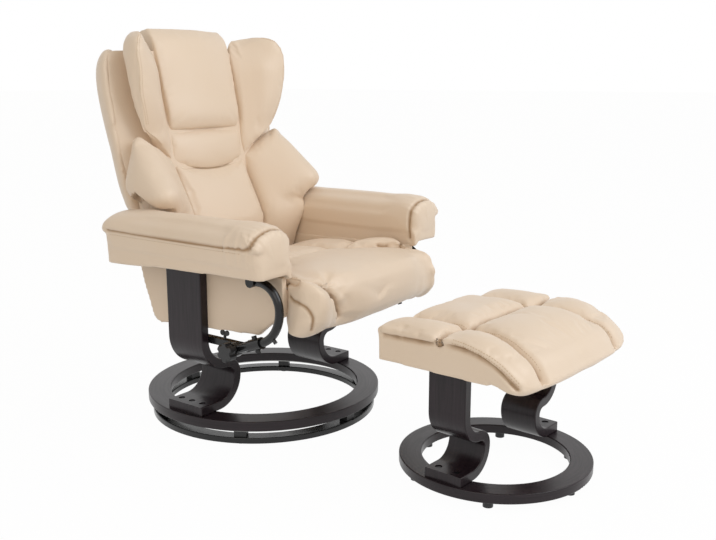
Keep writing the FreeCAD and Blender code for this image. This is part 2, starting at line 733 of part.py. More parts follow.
def make_back_pads(nodes):
    """Wings, bolsters, head pillow, neck roll and centre panel."""
    for name, rows in (("wing", wing_row_shares), ("bolster", bolster_row_shares)):
        piece = lean(loft([pad_wire(row) for row in rows]))
        nodes["left_" + name] = [piece]
        nodes["right_" + name] = [mirrored(piece)]
    pillow = []
    for station, half, front, rear in pillow_row_shares:
        z = back_length * station
        corners = [V(-back_half * half, -pad_depth * rear - soft_gap, z), V(-back_half * half, -pad_depth * front, z),
                   V(back_half * half, -pad_depth * front, z), V(back_half * half, -pad_depth * rear - soft_gap, z)]
        pillow.append(bowed_wire(corners, (0, pad_puff, 0, 0)))
    nodes["head_pillow"] = [lean(loft(pillow))]
    panel = []
    roll = []
    for column_share, crown_share in zip(panel_column_shares, panel_crown_shares):
        x = back_half * panel_half_share * column_share
        smile = back_length * panel_smile_rise_share * column_share ** 2
        heights = [back_length * share for share in (panel_foot_share, panel_low_share, panel_lumbar_share,
                                                     panel_waist_share)]
        heights.append(back_length * panel_smile_share + smile)
        front = [-pad_depth * share - panel_crown * crown_share for share in panel_depth_shares]
        corners = [V(x, -soft_gap, heights[-1])] + [V(x, -soft_gap, heights[0])]
        corners += [V(x, y, z) for y, z in zip(front, heights)]
        bows = (0, 0, 0, panel_crown / 2, panel_crown / 4, panel_crown / 5, 0)
        panel.append(bowed_wire(corners, bows))
        low_z = back_length * roll_low_share + smile
        top_z = back_length * roll_top_share
        depth = -pad_depth * roll_depth_share - roll_crown * crown_share / 2
        x = back_half * roll_half_share * column_share
        corners = [V(x, -soft_gap, top_z), V(x, -soft_gap, low_z), V(x, depth, low_z), V(x, depth, top_z)]
        roll.append(bowed_wire(corners, (0, 0, roll_crown * (1 + crown_share) / 2, 0)))
    nodes["back_panel"] = [lean(loft(panel))]
    nodes["neck_roll"] = [lean(loft(roll))]


def make_back_frame(nodes):
    """Back board, outer shell, straps down to the hinge and the plates that carry the arms."""
    shoulder_z = board_top * board_shoulder_share
    half_outline = [(board_low_half, -board_foot), (board_low_half, shoulder_z),
                    (board_low_half * board_top_half_share, board_top)]
    outline = [V(x, 0, z) for x, z in half_outline] + [V(-x, 0, z) for x, z in reversed(half_outline)]
    board = Part.Face(Part.makePolygon(outline + outline[:1])).extrude(V(0, board_thick, 0))
    nodes["back_board"] = [lean(board)]
    shell = []
    for station, edge_half, recess_half, rear_half, edge, recess, rear, bow in shell_row_shares:
        left = [V(back_half * half, shell_depth * depth, back_length * station)
                for half, depth in ((recess_half, recess), (edge_half, edge), (rear_half, rear))]
        corners = left + [V(-corner.x, corner.y, corner.z) for corner in reversed(left)]
        shell.append(bowed_wire(corners, (0, pad_puff / 2, shell_depth * bow, pad_puff / 2, 0, 0)))
    nodes["back_shell"] = [lean(loft(shell))]
    hinge = upright(V(hinge_x, hinge_y, hinge_z))
    strap_x = (hinge_x - strap_width / 2, hinge_x + strap_width / 2)
    flat = box(strap_x, (board_thick, board_thick + strap_thick),
               (-strap_foot, back_length * strap_reach_share))
    across = V(0, hinge.z + strap_foot, board_thick + strap_thick / 2 - hinge.y).normalize() * (strap_thick / 2)
    shank = side_plate([(board_thick, -strap_foot), (board_thick + strap_thick, -strap_foot),
                        (hinge.y - across.y, hinge.z - across.z), (hinge.y + across.y, hinge.z + across.z)], strap_x)
    knuckle = cross_rod(hinge.y, hinge.z, *strap_x, hinge_knuckle_r)
    bore = cross_rod(hinge.y, hinge.z, strap_x[0] - overrun, strap_x[1] + overrun, hinge_pin_r + running_fit)
    strap = lean(flat.fuse([shank, knuckle]).cut(bore).removeSplitter())
    pivot = upright(arm_pivot())
    plate_x = (board_low_half, board_low_half + arm_plate_thick)
    eye = cross_rod(pivot.y, pivot.z, *plate_x, arm_plate_r)
    web = side_plate([(board_thick, 0), (board_thick, arm_plate_foot), (pivot.y, pivot.z + arm_plate_r),
                      (pivot.y, pivot.z - arm_plate_r)], plate_x)
    stud = cross_rod(pivot.y, pivot.z, plate_x[0], arm_inner_x + skirt_wall + arm_board_thick, arm_stud_r)
    plate = lean(eye.fuse([web, stud]).removeSplitter())
    for name, piece in (("back_strap", strap), ("arm_plate", plate)):
        nodes["left_" + name] = [piece]
        nodes["right_" + name] = [mirrored(piece)]


def make_back_hinge(nodes):
    """Hinge halves on the rear of the seat box, with their pins."""
    low = V(0, seat_rear_y(hinge_leaf_low_z), hinge_leaf_low_z)
    high = V(0, seat_rear_y(hinge_leaf_high_z), hinge_leaf_high_z)
    out = V(0, high.z - low.z, low.y - high.y).normalize() * hinge_leaf_thick
    strap_x = (hinge_x - strap_width / 2 - loose_fit, hinge_x + strap_width / 2 + loose_fit)
    span = (strap_x[0] - hinge_cheek_thick, strap_x[1] + hinge_cheek_thick)
    leaf = side_plate([(low.y, low.z), (high.y, high.z), (high.y + out.y, high.z + out.z),
                       (low.y + out.y, low.z + out.z)], span)
    pieces = []
    for cheek_x in ((span[0], strap_x[0]), (strap_x[1], span[1])):
        pieces.append(cross_rod(hinge_y, hinge_z, *cheek_x, hinge_cheek_r))
        pieces.append(side_plate([(low.y, low.z), (high.y, high.z), (hinge_y + hinge_cheek_r, hinge_z),
                                  (hinge_y, hinge_z - hinge_cheek_r)], cheek_x))
    pin = cross_rod(hinge_y, hinge_z, *span, hinge_pin_r)
    half = leaf.fuse(pieces).cut(pin).removeSplitter()
    nodes["left_seat_hinge"] = [half]
    nodes["right_seat_hinge"] = [mirrored(half)]
    nodes["hinge_pins"] = [pin, mirrored(pin)]


def make_arms(nodes):
    """Arm frame, skirt, pad and hanger of each arm."""
    inner_x = arm_inner_x + skirt_wall
    outer_x = arm_outer_x - skirt_wall
    front_y = arm_front_y + skirt_wall
    rear_y = arm_rear_y - skirt_wall
    pivot = arm_pivot()
    board = box((inner_x, inner_x + arm_board_thick), (front_y, rear_y), (arm_board_low_z, arm_deck_top_z))
    deck = box((inner_x, outer_x), (front_y, rear_y), (arm_deck_z, arm_deck_top_z))
    bore = cross_rod(pivot.y, pivot.z, arm_inner_x - overrun, inner_x + arm_board_thick + overrun,
                     arm_stud_r + running_fit)
    frame = board.fuse(deck).cut(bore).removeSplitter()
    skirt = side_plate([(arm_front_y, arm_low_front_z), (arm_rear_y, arm_low_rear_z), (arm_rear_y, arm_deck_top_z),
                        (arm_front_y, arm_deck_top_z)], (arm_inner_x, arm_outer_x))
    posts = [edge for edge in skirt.Edges if edge.BoundBox.YLength < overrun and edge.BoundBox.XLength < overrun]
    skirt = skirt.makeFillet(skirt_corner_r, posts)
    hollow = box((inner_x, outer_x), (front_y, rear_y), (arm_low_rear_z - overrun, arm_deck_top_z + overrun))
    hollow = hollow.fuse(cross_rod(pivot.y, pivot.z, arm_inner_x - overrun, inner_x + overrun,
                                   arm_stud_r + arm_stud_fit))
    skirt = skirt.cut(hollow)
    pad_z = arm_deck_top_z + soft_gap
    rows = []
    for station, width, height in arm_pad_row_shares:
        y = arm_rear_y + (arm_front_y - arm_rear_y) * station
        half = arm_width * width / 2
        middle_x = arm_inner_x + arm_width / 2
        top_z = pad_z + (arm_pad_height - arm_pad_bow) * height
        corners = [V(middle_x - half, y, pad_z), V(middle_x - half, y, top_z), V(middle_x + half, y, top_z),
                   V(middle_x + half, y, pad_z)]
        rows.append(bowed_wire(corners, (arm_pad_bow / 5, arm_pad_bow, arm_pad_bow, 0)))
    top = lever_top()
    cheek_in = tube_r + hanger_gap
    cheek_out = cheek_in + hanger_thick
    hanger = box((lever_x - cheek_out, lever_x + cheek_out),
                 (top.y - hanger_half_length, top.y + hanger_half_length), (arm_deck_z - hanger_thick, arm_deck_z))
    cheeks = []
    for near, far in ((-cheek_out, -cheek_in), (cheek_in, cheek_out)):
        cheeks.append(box((lever_x + near, lever_x + far), (top.y - lever_eye_r, top.y + lever_eye_r),
                          (top.z, arm_deck_z)))
        cheeks.append(cross_rod(top.y, top.z, lever_x + near, lever_x + far, lever_eye_r))
    pin = cross_rod(top.y, top.z, lever_x - cheek_out, lever_x + cheek_out, hanger_pin_r)
    hanger = hanger.fuse(cheeks + [pin]).removeSplitter()
    for name, piece in (("frame", frame), ("skirt", skirt), ("pad", loft(rows)), ("hanger", hanger)):
        nodes["left_arm_" + name] = [piece]
        nodes["right_arm_" + name] = [mirrored(piece)]


def on_stool(shape):
    """Set a piece of the footstool where the footstool stands."""
    shape = shape.copy()
    shape.rotate(V(0, 0, 0), V(0, 0, 1), stool_angle)
    shape.translate(V(stool_middle_x, stool_middle_y, 0))
    return shape


def make_stool(nodes):
    """Footstool: ring on round feet, two bent legs, apron, board and sewn cushion."""
    low_z = stool_ring_top_z - stool_ring_thick
    inner_r = stool_ring_outer_r - stool_ring_width
    foot_seat_z = stool_ring_top_z + stool_leg_thick - bolt_recess
    bolt_x = stool_foot_end_x - stool_bolt_inset
    board_top_z = stool_apron_top_z + stool_board_thick
    seats = []
    for side in (-1, 1):
        y = side * stool_bolt_pitch / 2
        seats.append((V(bolt_x, y, foot_seat_z), V(0, 0, -1)))
        seats.append((V(stool_leg_middle_x, y, board_top_z - bolt_head_thick), V(0, 0, -1)))
    holes = [bolt_hole(*seat) for seat in seats]
    bolts = [bolt(*seat) for seat in seats]
    all_holes = holes + [mirrored(hole) for hole in holes]
    stool_ring = ring(stool_ring_outer_r, inner_r, low_z, stool_ring_top_z)
    round_edges = [edge for edge in stool_ring.Edges if edge.BoundBox.ZLength < overrun]
    stool_ring = stool_ring.makeFillet(edge_round, round_edges).cut(all_holes)
    leg = bent_leg(stool_leg_middle_x, 0, stool_apron_top_z, stool_ring_top_z, stool_leg_thick, stool_leg_width,
                   stool_leg_turn_r, stool_curl_upper_r, stool_curl_lower_r, stool_foot_end_x).cut(holes)
    foot_r = inner_r + stool_ring_width / 2
    foot = rod(V(foot_r, 0, 0), V(foot_r, 0, low_z), stool_foot_r)
    wall = stool_apron_wall
    apron = box((-stool_half_width, stool_half_width), (stool_front_y, stool_rear_y),
                (stool_apron_low_z, stool_apron_top_z))
    hollow = box((-stool_half_width + wall, stool_half_width - wall), (stool_front_y + wall, stool_rear_y - wall),
                 (stool_apron_low_z - overrun, stool_apron_top_z + overrun))
    board = box((-stool_half_width, stool_half_width), (stool_front_y, stool_rear_y),
                (stool_apron_top_z, board_top_z))
    cushion = sewn_cushion(stool_half_width, stool_cushion_rear_y, stool_front_y, stool_cushion_depth, board_top_z,
                           0, stool_cushion_rise, stool_channel, stool_profile_shares)
    nodes["stool_ring"] = [stool_ring]
    nodes["stool_feet"] = around(foot, stool_foot_count, first_stool_foot_angle)
    nodes["left_stool_leg"] = [leg]
    nodes["right_stool_leg"] = [mirrored(leg)]
    nodes["stool_bolts"] = bolts + [mirrored(piece) for piece in bolts]
    nodes["stool_apron"] = [apron.cut(hollow)]
    nodes["stool_board"] = [board.cut(all_holes)]
    nodes["stool_cushion"] = [cushion]
    for name in ("stool_ring", "stool_feet", "left_stool_leg", "right_stool_leg", "stool_bolts", "stool_apron",
                 "stool_board", "stool_cushion"):
        nodes[name] = [on_stool(piece) for piece in nodes[name]]


def main():
    """Build every piece, centre the set on its box and write one file for each node."""
    nodes = {}
    make_base(nodes)
    holes = make_legs(nodes)
    make_side_bars(nodes, holes)
    make_knobs(nodes)
    make_levers(nodes)
    make_seat(nodes, holes + [mirrored(hole) for hole in holes])
    make_back_hinge(nodes)
    make_back_frame(nodes)
    make_back_pads(nodes)
    make_arms(nodes)
    make_stool(nodes)
    front_y = nodes["stool_cushion"][0].optimalBoundingBox().YMin
    rear_y = nodes["back_shell"][0].optimalBoundingBox().YMax
    shift = V(0, -(front_y + rear_y) / 2, 0)
    os.makedirs("parts", exist_ok=True)
    for name, pieces in nodes.items():
        solids = []
        for piece in pieces:
            for solid in piece.Solids:
                placed = solid.copy()
                placed.translate(shift)
                solids.append(placed)
        shape = solids[0] if len(solids) == 1 else Part.makeCompound(solids)
        shape.exportStep("parts/" + name + ".step")
        print(name, len(solids), "solids, valid", all(solid.isValid() for solid in solids),
              "volume", round(shape.Volume))
    for name, point in (("hinge", V(0, hinge_y, hinge_z)), ("knob", V(0, knob_pivot_y, knob_pivot_z)),
                        ("lever top", lever_top()), ("arm pivot", arm_pivot()), ("swivel", V(0, 0, 0))):
        print(name, [round(value, 3) for value in point + shift])


main()
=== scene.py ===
"""Leather swivel recliner with a footstool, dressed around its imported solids, in metres."""
import bpy
import bmesh
import math
import numpy as np
from mathutils import Matrix, Vector, noise
from mathutils.bvhtree import BVHTree


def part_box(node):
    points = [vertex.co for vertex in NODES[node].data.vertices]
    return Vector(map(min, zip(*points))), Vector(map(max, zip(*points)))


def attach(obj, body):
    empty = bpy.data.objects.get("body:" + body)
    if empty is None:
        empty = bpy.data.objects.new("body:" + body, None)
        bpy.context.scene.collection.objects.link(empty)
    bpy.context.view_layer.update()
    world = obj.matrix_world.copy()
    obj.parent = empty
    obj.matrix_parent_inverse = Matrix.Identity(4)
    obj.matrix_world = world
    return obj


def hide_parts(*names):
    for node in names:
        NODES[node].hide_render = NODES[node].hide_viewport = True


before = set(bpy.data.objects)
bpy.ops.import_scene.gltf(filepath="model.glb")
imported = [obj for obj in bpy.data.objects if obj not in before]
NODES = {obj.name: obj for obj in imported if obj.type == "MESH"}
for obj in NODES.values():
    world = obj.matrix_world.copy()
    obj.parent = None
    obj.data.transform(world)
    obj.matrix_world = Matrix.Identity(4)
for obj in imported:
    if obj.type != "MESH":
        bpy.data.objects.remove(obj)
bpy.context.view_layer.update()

bl_info = {
    "name": "Swivel recliner",
    "version": (1, 0, 0),
    "blender": (4, 5, 0),
    "location": "3D View > Sidebar > Recliner",
    "description": "Upholstery, finishes and studio for a leather swivel recliner with a footstool",
    "category": "Object",
}

MM = 0.001

# The chair's swivel axis and the board that the back pieces are laid out on
SWIVEL_Y = sum(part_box("wood_ring")[i].y for i in (0, 1)) / 2
BACK_FOOT = Vector((0, SWIVEL_Y + 160 * MM, 423 * MM))
BACK_LEAN = math.radians(11.3)
BACK_UP = Vector((0, math.sin(BACK_LEAN), math.cos(BACK_LEAN)))
BACK_OUT = Vector((0, -math.cos(BACK_LEAN), math.sin(BACK_LEAN)))
STOOL_TURN = Matrix.Rotation(math.radians(-3.7), 3, "Z")
STOOL_MIDDLE = Vector((-8 * MM, SWIVEL_Y - 706 * MM, 0))

# Rays that lay seams on the leather start clear above it or beside it
DOWN = (0, 0, -1)
ABOVE, BESIDE = 0.7, 0.5


def linear(hex_colour):
    parts = [int(hex_colour[i:i + 2], 16) / 255 for i in (1, 3, 5)]
    return tuple(p / 12.92 if p <= 0.04045 else ((p + 0.055) / 1.055) ** 2.4 for p in parts)


def join(tree, made, inputs):
    """Links the sockets among a node's inputs and sets the plain values."""
    for name, value in inputs.items():
        if isinstance(value, bpy.types.NodeSocket):
            tree.links.new(value, made.inputs[name])
        else:
            made.inputs[name].default_value = value


def node(tree, kind, inputs, **settings):
    made = tree.nodes.new(kind)
    for name, value in settings.items():
        setattr(made, name, value)
    join(tree, made, inputs)
    return made


# Settings that a user would change
class LeatherSettings(bpy.types.PropertyGroup):
    colour: bpy.props.FloatVectorProperty(
        name="Leather", description="Colour of the cream leather", subtype="COLOR", size=3,
        default=linear("#E4D1BC"), min=0, max=1)
    # Painted shade: this crease colour is painted deep in seams and folds and where pads touch, in place of their
    # shadow
    crease: bpy.props.FloatVectorProperty(
        name="Creases", description="Colour deep in seams and folds", subtype="COLOR", size=3,
        default=linear("#9A7852"), min=0, max=1)
    thread: bpy.props.FloatVectorProperty(
        name="Thread", description="Colour of the stitching", subtype="COLOR", size=3,
        default=linear("#D3BB9C"), min=0, max=1)
    pebble: bpy.props.FloatProperty(
        name="Pebble", description="Width of one pebble of the embossed grain", default=3.2 * MM,
        unit="LENGTH", min=0.0005)
    stitch_pitch: bpy.props.FloatProperty(
        name="Stitch pitch", description="Distance from stitch to stitch", default=6 * MM,
        unit="LENGTH", min=0.002)
    stitch_length: bpy.props.FloatProperty(
        name="Stitch length", description="Length of one stitch", default=4.4 * MM,
        unit="LENGTH", min=0.001)
    stitch_radius: bpy.props.FloatProperty(
        name="Thread radius", description="Radius of the sewing thread", default=0.7 * MM,
        unit="LENGTH", min=0.0002)


class FrameSettings(bpy.types.PropertyGroup):
    wood: bpy.props.FloatVectorProperty(
        name="Wood", description="Colour of the stained wood", subtype="COLOR", size=3,
        default=linear("#231B20"), min=0, max=1)
    wood_grain: bpy.props.FloatVectorProperty(
        name="Wood grain", description="Colour of the darker pores", subtype="COLOR", size=3,
        default=linear("#0F0B0D"), min=0, max=1)
    grain_width: bpy.props.FloatProperty(
        name="Grain width", description="Width of one streak of the grain", default=5 * MM,
        unit="LENGTH", min=0.0005)
    steel: bpy.props.FloatVectorProperty(
        name="Black steel", description="Colour of the powder coat", subtype="COLOR", size=3,
        default=linear("#121214"), min=0, max=1)
    plastic: bpy.props.FloatVectorProperty(
        name="Black plastic", description="Colour of knobs, spacers and feet", subtype="COLOR", size=3,
        default=linear("#1C1B1C"), min=0, max=1)


class StudioSettings(bpy.types.PropertyGroup):
    floor: bpy.props.FloatVectorProperty(
        name="Floor", description="Colour of the studio floor", subtype="COLOR", size=3,
        default=linear("#F4F4F4"), min=0, max=1)
    ambient_colour: bpy.props.FloatVectorProperty(
        name="Ambient colour", description="Tint of the light that comes back from the room", subtype="COLOR",
        size=3, default=(1, 0.955, 0.885), min=0, max=1)
    ambient: bpy.props.FloatProperty(
        name="Ambient", description="Strength of the light from all round", default=0.52, min=0)
    key: bpy.props.FloatProperty(
        name="Key", description="Power of the large front lamp", default=70, unit="POWER", min=0)
    fill: bpy.props.FloatProperty(
        name="Fill", description="Power of the lamp beside the camera", default=17, unit="POWER", min=0)


# Materials
def new_material(name):
    material = bpy.data.materials.new(name)
    material.use_nodes = True
    tree = material.node_tree
    return tree, tree.nodes["Principled BSDF"], node(tree, "ShaderNodeTexCoord", {}).outputs["Object"]


def cloud(tree, place, width, detail=2, **more):
    """Noise with spots of one width."""
    inputs = {"Vector": place, "Scale": 1 / width, "Detail": detail, **more}
    return node(tree, "ShaderNodeTexNoise", inputs).outputs["Fac"]


def calc(tree, operation, first, second, **settings):
    return node(tree, "ShaderNodeMath", {0: first, 1: second}, operation=operation, **settings).outputs[0]


def spread(tree, value, low, high, start=0, end=1):
    """The values from start to end brought to those from low to high."""
    return node(tree, "ShaderNodeMapRange", {"Value": value, "From Min": start, "From Max": end,
                                             "To Min": low, "To Max": high}).outputs["Result"]


def mix(tree, share, first, second):
    colours = [c if isinstance(c, bpy.types.NodeSocket) else (*c, 1) for c in (first, second)]
    return node(tree, "ShaderNodeMix", {0: share, 6: colours[0], 7: colours[1]}, data_type="RGBA").outputs[2]


def bump(tree, shader, height, strength, distance):
    made = node(tree, "ShaderNodeBump", {"Height": height, "Strength": strength, "Distance": distance})
    tree.links.new(made.outputs["Normal"], shader.inputs["Normal"])


def leather_material(settings):
    # Coated bonded leather with an embossed pebble: soft gloss, faint mottling, and painted shade in its seams
    # and folds and where pads meet.
    # The pebble is really about 1.2 mm, too fine to show, so it is drawn nearly three times as wide.
    tree, shader, place = new_material("embossed_cream_leather")
    pebbles = node(tree, "ShaderNodeTexVoronoi", {"Vector": place, "Scale": 1 / settings.pebble,
                                                  "Randomness": 0.9}, feature="SMOOTH_F1")
    soft = cloud(tree, place, 28 * MM, 3)
    mottling = spread(tree, cloud(tree, place, 160 * MM), 0, 0.13, 0.3, 0.7)
    fold = node(tree, "ShaderNodeAttribute", {}, attribute_name="crease").outputs["Fac"]
    warm = mix(tree, mottling, settings.colour, linear("#DBC09C"))
    # The crease attribute mixes in the crease colour as painted shade, in seams and where pads touch
    join(tree, shader, {"Base Color": mix(tree, fold, warm, settings.crease),
                        "Roughness": spread(tree, soft, 0.40, 0.54, 0.25, 0.75), "IOR": 1.48,
                        "Specular IOR Level": 0.55, "Sheen Weight": 0.16, "Sheen Roughness": 0.5})
    grain = calc(tree, "MULTIPLY", pebbles.outputs["Distance"], 0.55)
    bump(tree, shader, calc(tree, "ADD", soft, grain), 0.16, 1.2 * MM)


def thread_material(settings):
    # Bonded polyester thread: a little darker than the leather, dull.
    tree, shader, place = new_material("polyester_thread")
    twist = cloud(tree, place, 2 * MM)
    join(tree, shader, {"Base Color": mix(tree, twist, settings.thread, linear("#B99C78")), "Roughness": 0.7})


def wood_material(name, settings, coordinates):
    # Beech stained espresso under satin lacquer: near black, faint streaks along the grain, soft gloss.
    tree, shader, place = new_material(name)
    streaks = cloud(tree, coordinates(tree, place), settings.grain_width, 5, Roughness=0.6, Distortion=0.3)
    stained = mix(tree, spread(tree, streaks, 0, 1, 0.35, 0.68), settings.wood_grain, settings.wood)
    red = spread(tree, cloud(tree, place, 90 * MM), 0, 0.3)
    join(tree, shader, {"Base Color": mix(tree, red, stained, linear("#35222A")),
                        "Roughness": spread(tree, streaks, 0.42, 0.28), "Specular IOR Level": 0.28,
                        "Coat Weight": 0.14, "Coat Roughness": 0.22})
    bump(tree, shader, streaks, 0.12, 0.4 * MM)


def grain_round(centre):
    """Coordinates in which the grain runs round a ring."""
    def coordinates(tree, place):
        moved = node(tree, "ShaderNodeMapping", {"Vector": place, "Location": tuple(-c for c in centre)})
        x, y, z = node(tree, "ShaderNodeSeparateXYZ", {"Vector": moved.outputs["Vector"]}).outputs
        slow = calc(tree, "MULTIPLY", calc(tree, "ARCTAN2", y, x), 12 * MM)
        flat = node(tree, "ShaderNodeCombineXYZ", {"X": x, "Y": y})
        reach = node(tree, "ShaderNodeVectorMath", {0: flat.outputs[0]}, operation="LENGTH")
        return node(tree, "ShaderNodeCombineXYZ", {"X": reach.outputs["Value"], "Y": slow, "Z": z}).outputs[0]
    return coordinates


def grain_along_leg(tree, place):
    return node(tree, "ShaderNodeMapping", {"Vector": place, "Scale": (0.06, 1, 0.06)}).outputs["Vector"]


def black_steel_material(settings):
    # Powder-coated steel tube: deep black with a clear gloss and a faint orange peel.
    tree, shader, place = new_material("black_powder_coated_steel")
    dust = cloud(tree, place, 35 * MM, 3)
    join(tree, shader, {"Base Color": mix(tree, dust, settings.steel, linear("#0E0E10")),
                        "Roughness": spread(tree, dust, 0.18, 0.34), "Specular IOR Level": 0.3,
                        "Coat Weight": 0.25, "Coat Roughness": 0.12})
    bump(tree, shader, cloud(tree, place, 2.2 * MM, 1), 0.1, 0.3 * MM)


def bare_steel_material(name, low, high, rough):
    # Zinc-plated steel: grey metal with a slightly cloudy plating.
    tree, shader, place = new_material(name)
    plating = cloud(tree, place, 9 * MM, 4)
    join(tree, shader, {"Base Color": mix(tree, plating, linear(low), linear(high)),
                        "Roughness": spread(tree, plating, rough, rough + 0.18), "Metallic": 1})
    bump(tree, shader, plating, 0.06, 0.3 * MM)


def plastic_material(settings):
    # Moulded nylon: black, a fine spark-eroded texture and a dull gloss.
    tree, shader, place = new_material("moulded_black_nylon")
    scuff = cloud(tree, place, 22 * MM, 4)
    join(tree, shader, {"Base Color": mix(tree, scuff, settings.plastic, linear("#242426")),
                        "Roughness": spread(tree, scuff, 0.38, 0.56)})
    bump(tree, shader, cloud(tree, place, 1.5 * MM), 0.14, 0.3 * MM)


def plywood_material():
    # Birch plywood, raw: pale streaked face, seen only from below and behind.
    tree, shader, place = new_material("raw_birch_plywood")
    along = node(tree, "ShaderNodeMapping", {"Vector": place, "Scale": (1, 0.07, 0.2)}).outputs["Vector"]
    streaks = cloud(tree, along, 7 * MM, 5)
    join(tree, shader, {"Base Color": mix(tree, streaks, linear("#A98758"), linear("#D0B486")),
                        "Roughness": spread(tree, streaks, 0.62, 0.78)})
    bump(tree, shader, streaks, 0.2, 0.4 * MM)


def wear(name, *nodes):
    for each in nodes:
        mesh = NODES[each].data
        mesh.materials.clear()
        mesh.materials.append(bpy.data.materials[name])


# Shaping of the leather
def read(mesh):
    points = np.empty(len(mesh.vertices) * 3)
    mesh.vertices.foreach_get("co", points)
    return points.reshape(-1, 3)


def write(mesh, points):
    mesh.vertices.foreach_set("co", points.ravel())
    mesh.update()


def outward(mesh):
    normals = np.empty(len(mesh.vertices) * 3)
    mesh.vertex_normals.foreach_get("vector", normals)
    return normals.reshape(-1, 3)


def ramp(value, low, high):
    """Smooth step from 0 at low to 1 at high."""
    share = np.clip((value - low) / (high - low), 0, 1)
    return share * share * (3 - 2 * share)


def add_object(name, data):
    obj = bpy.data.objects.new(name, data)
    bpy.context.scene.collection.objects.link(obj)
    return obj


# Share of the way that a point goes to the middle of its neighbours in one round, and back in the next
RELAX_STEP = 0.5
RELAX_BACK = -RELAX_STEP * 1.04


def relax(mesh, rounds, where=None):
    """Evens the surface out: all over without shrinking it, or more strongly where the weights say."""
    ends = np.empty(len(mesh.edges) * 2, int)
    mesh.edges.foreach_get("vertices", ends)
    a, b = ends.reshape(-1, 2).T
    count = len(mesh.vertices)
    degree = (np.bincount(a, minlength=count) + np.bincount(b, minlength=count))[:, None]
    points = read(mesh)
    for turn in range(rounds):
        sums = np.stack([np.bincount(a, points[b, k], count) + np.bincount(b, points[a, k], count)
                         for k in range(3)], 1)
        if where is not None:
            step = RELAX_STEP * where[:, None]
        else:
            step = RELAX_BACK if turn % 2 else RELAX_STEP
        points += step * (sums / degree - points)
    write(mesh, points)


def bake(obj):
    """The object's evaluated mesh takes the place of its mesh and modifiers."""
    graph = bpy.context.evaluated_depsgraph_get()
    mesh = bpy.data.meshes.new_from_object(obj.evaluated_get(graph))
    obj.modifiers.clear()
    old = obj.data
    obj.data = mesh
    bpy.data.meshes.remove(old)
    mesh.name = obj.name


def largest_piece(mesh):
    """Leaves only the piece of the mesh with the most corners."""
    made = bmesh.new()
    made.from_mesh(mesh)
    left = set(made.verts)
    best = set()
    while left:
        group = {left.pop()}
        edge = list(group)
        while edge:
            for link in edge.pop().link_edges:
                for end in link.verts:
                    if end in left:
                        left.remove(end)
                        group.add(end)
                        edge.append(end)
        best = max(best, group, key=len)
    bmesh.ops.delete(made, geom=[v for v in made.verts if v not in best], context="VERTS")
    made.to_mesh(mesh)
    made.free()


# How far a cushion is set down into what it lies on, and how close corners of a solid are one corner
SET_DOWN, SAME_CORNER = 3 * MM, 0.01 * MM


def tailor(name, nodes, voxel, lower=(), filling=()):
    """A closed, even mesh of the named solids and, if given, of a filling drawn tightly round points.
    The solids in lower are set down a little, to join what they lie on."""
    joined = bmesh.new()
    corners = [joined.verts.new(point) for point in filling]
    if corners:
        hull = bmesh.ops.convex_hull(joined, input=corners)
        spare = [v for v in hull["geom_interior"] + hull["geom_unused"] if isinstance(v, bmesh.types.BMVert)]
        bmesh.ops.delete(joined, geom=list(set(spare)), context="VERTS")
    for each in nodes:
        part = NODES[each].data.copy()
        if each in lower:
            part.transform(Matrix.Translation((0, 0, -SET_DOWN)))
        joined.from_mesh(part)
        bpy.data.meshes.remove(part)
    bmesh.ops.remove_doubles(joined, verts=joined.verts, dist=SAME_CORNER)
    mesh = bpy.data.meshes.new(name)
    joined.to_mesh(mesh)
    joined.free()
    obj = add_object(name, mesh)
    cut = obj.modifiers.new("even", "REMESH")
    cut.mode = "VOXEL"
    cut.voxel_size = voxel
    bake(obj)
    largest_piece(obj.data)
    relax(obj.data, 4)
    return obj


def refine(obj):
    smooth = obj.modifiers.new("fine", "SUBSURF")
    smooth.levels = smooth.render_levels = 1
    bake(obj)


def far(points, line):
    """Distance from each point to a line of corners, and how far along the line the nearest place is."""
    best = np.full(len(points), np.inf)
    along = np.zeros(len(points))
    walked = 0.0
    for a, b in zip(line[:-1], line[1:]):
        run = b - a
        length = np.linalg.norm(run)
        share = np.clip((points - a) @ run / length ** 2, 0, 1)
        reach = np.linalg.norm(points - a - share[:, None] * run, axis=1)
        nearer = reach < best
        best[nearer] = reach[nearer]
        along[nearer] = (walked + share * length)[nearer]
        walked += length
    return best, along


def ripple(points, width, seed):
    shift = Vector((seed * 7.1, seed * 3.7, seed * 1.3))
    return np.array([noise.noise(Vector(p) + shift) for p in points / width])


# The cover as cloth, pinned at its seams and blown up from inside
CLOTH_FRAMES = 20
CLOTH = {"quality": 4, "mass": 0.3, "tension_stiffness": 6, "compression_stiffness": 3, "shear_stiffness": 3,
         "bending_stiffness": 0.5, "use_pressure": True, "uniform_pressure_force": 4,
         "vertex_group_mass": "seams"}


def plump(obj, pins, grow, cap, rounds=8):
    """Blows the cover up as cloth that is held where it is pinned; no point moves further than cap."""
    start = read(obj.data)
    group = obj.vertex_groups.new(name="seams")
    for index in np.flatnonzero(pins > 0.02):
        group.add([int(index)], float(pins[index]), "REPLACE")
    cloth = obj.modifiers.new("cover", "CLOTH")
    cloth.point_cache.frame_start = 1
    cloth.point_cache.frame_end = CLOTH_FRAMES
    for name, value in CLOTH.items():
        setattr(cloth.settings, name, value)
    cloth.settings.shrink_min = -grow
    cloth.settings.effector_weights.gravity = 0
    cloth.collision_settings.use_collision = False
    cloth.collision_settings.use_self_collision = False
    scene = bpy.context.scene
    for step in range(1, CLOTH_FRAMES + 1):
        scene.frame_set(step)
    bake(obj)
    scene.frame_set(1)
    obj.vertex_groups.clear()
    move = read(obj.data) - start
    length = np.linalg.norm(move, axis=1, keepdims=True)
    held = np.minimum(1, cap / np.maximum(length, 1e-9))
    write(obj.data, start + move * held)
    relax(obj.data, rounds)


def sink(obj, depth):
    """Moves each point in along its normal, by one depth or one for each point."""
    mesh = obj.data
    write(mesh, read(mesh) - outward(mesh) * np.reshape(depth, (-1, 1)))


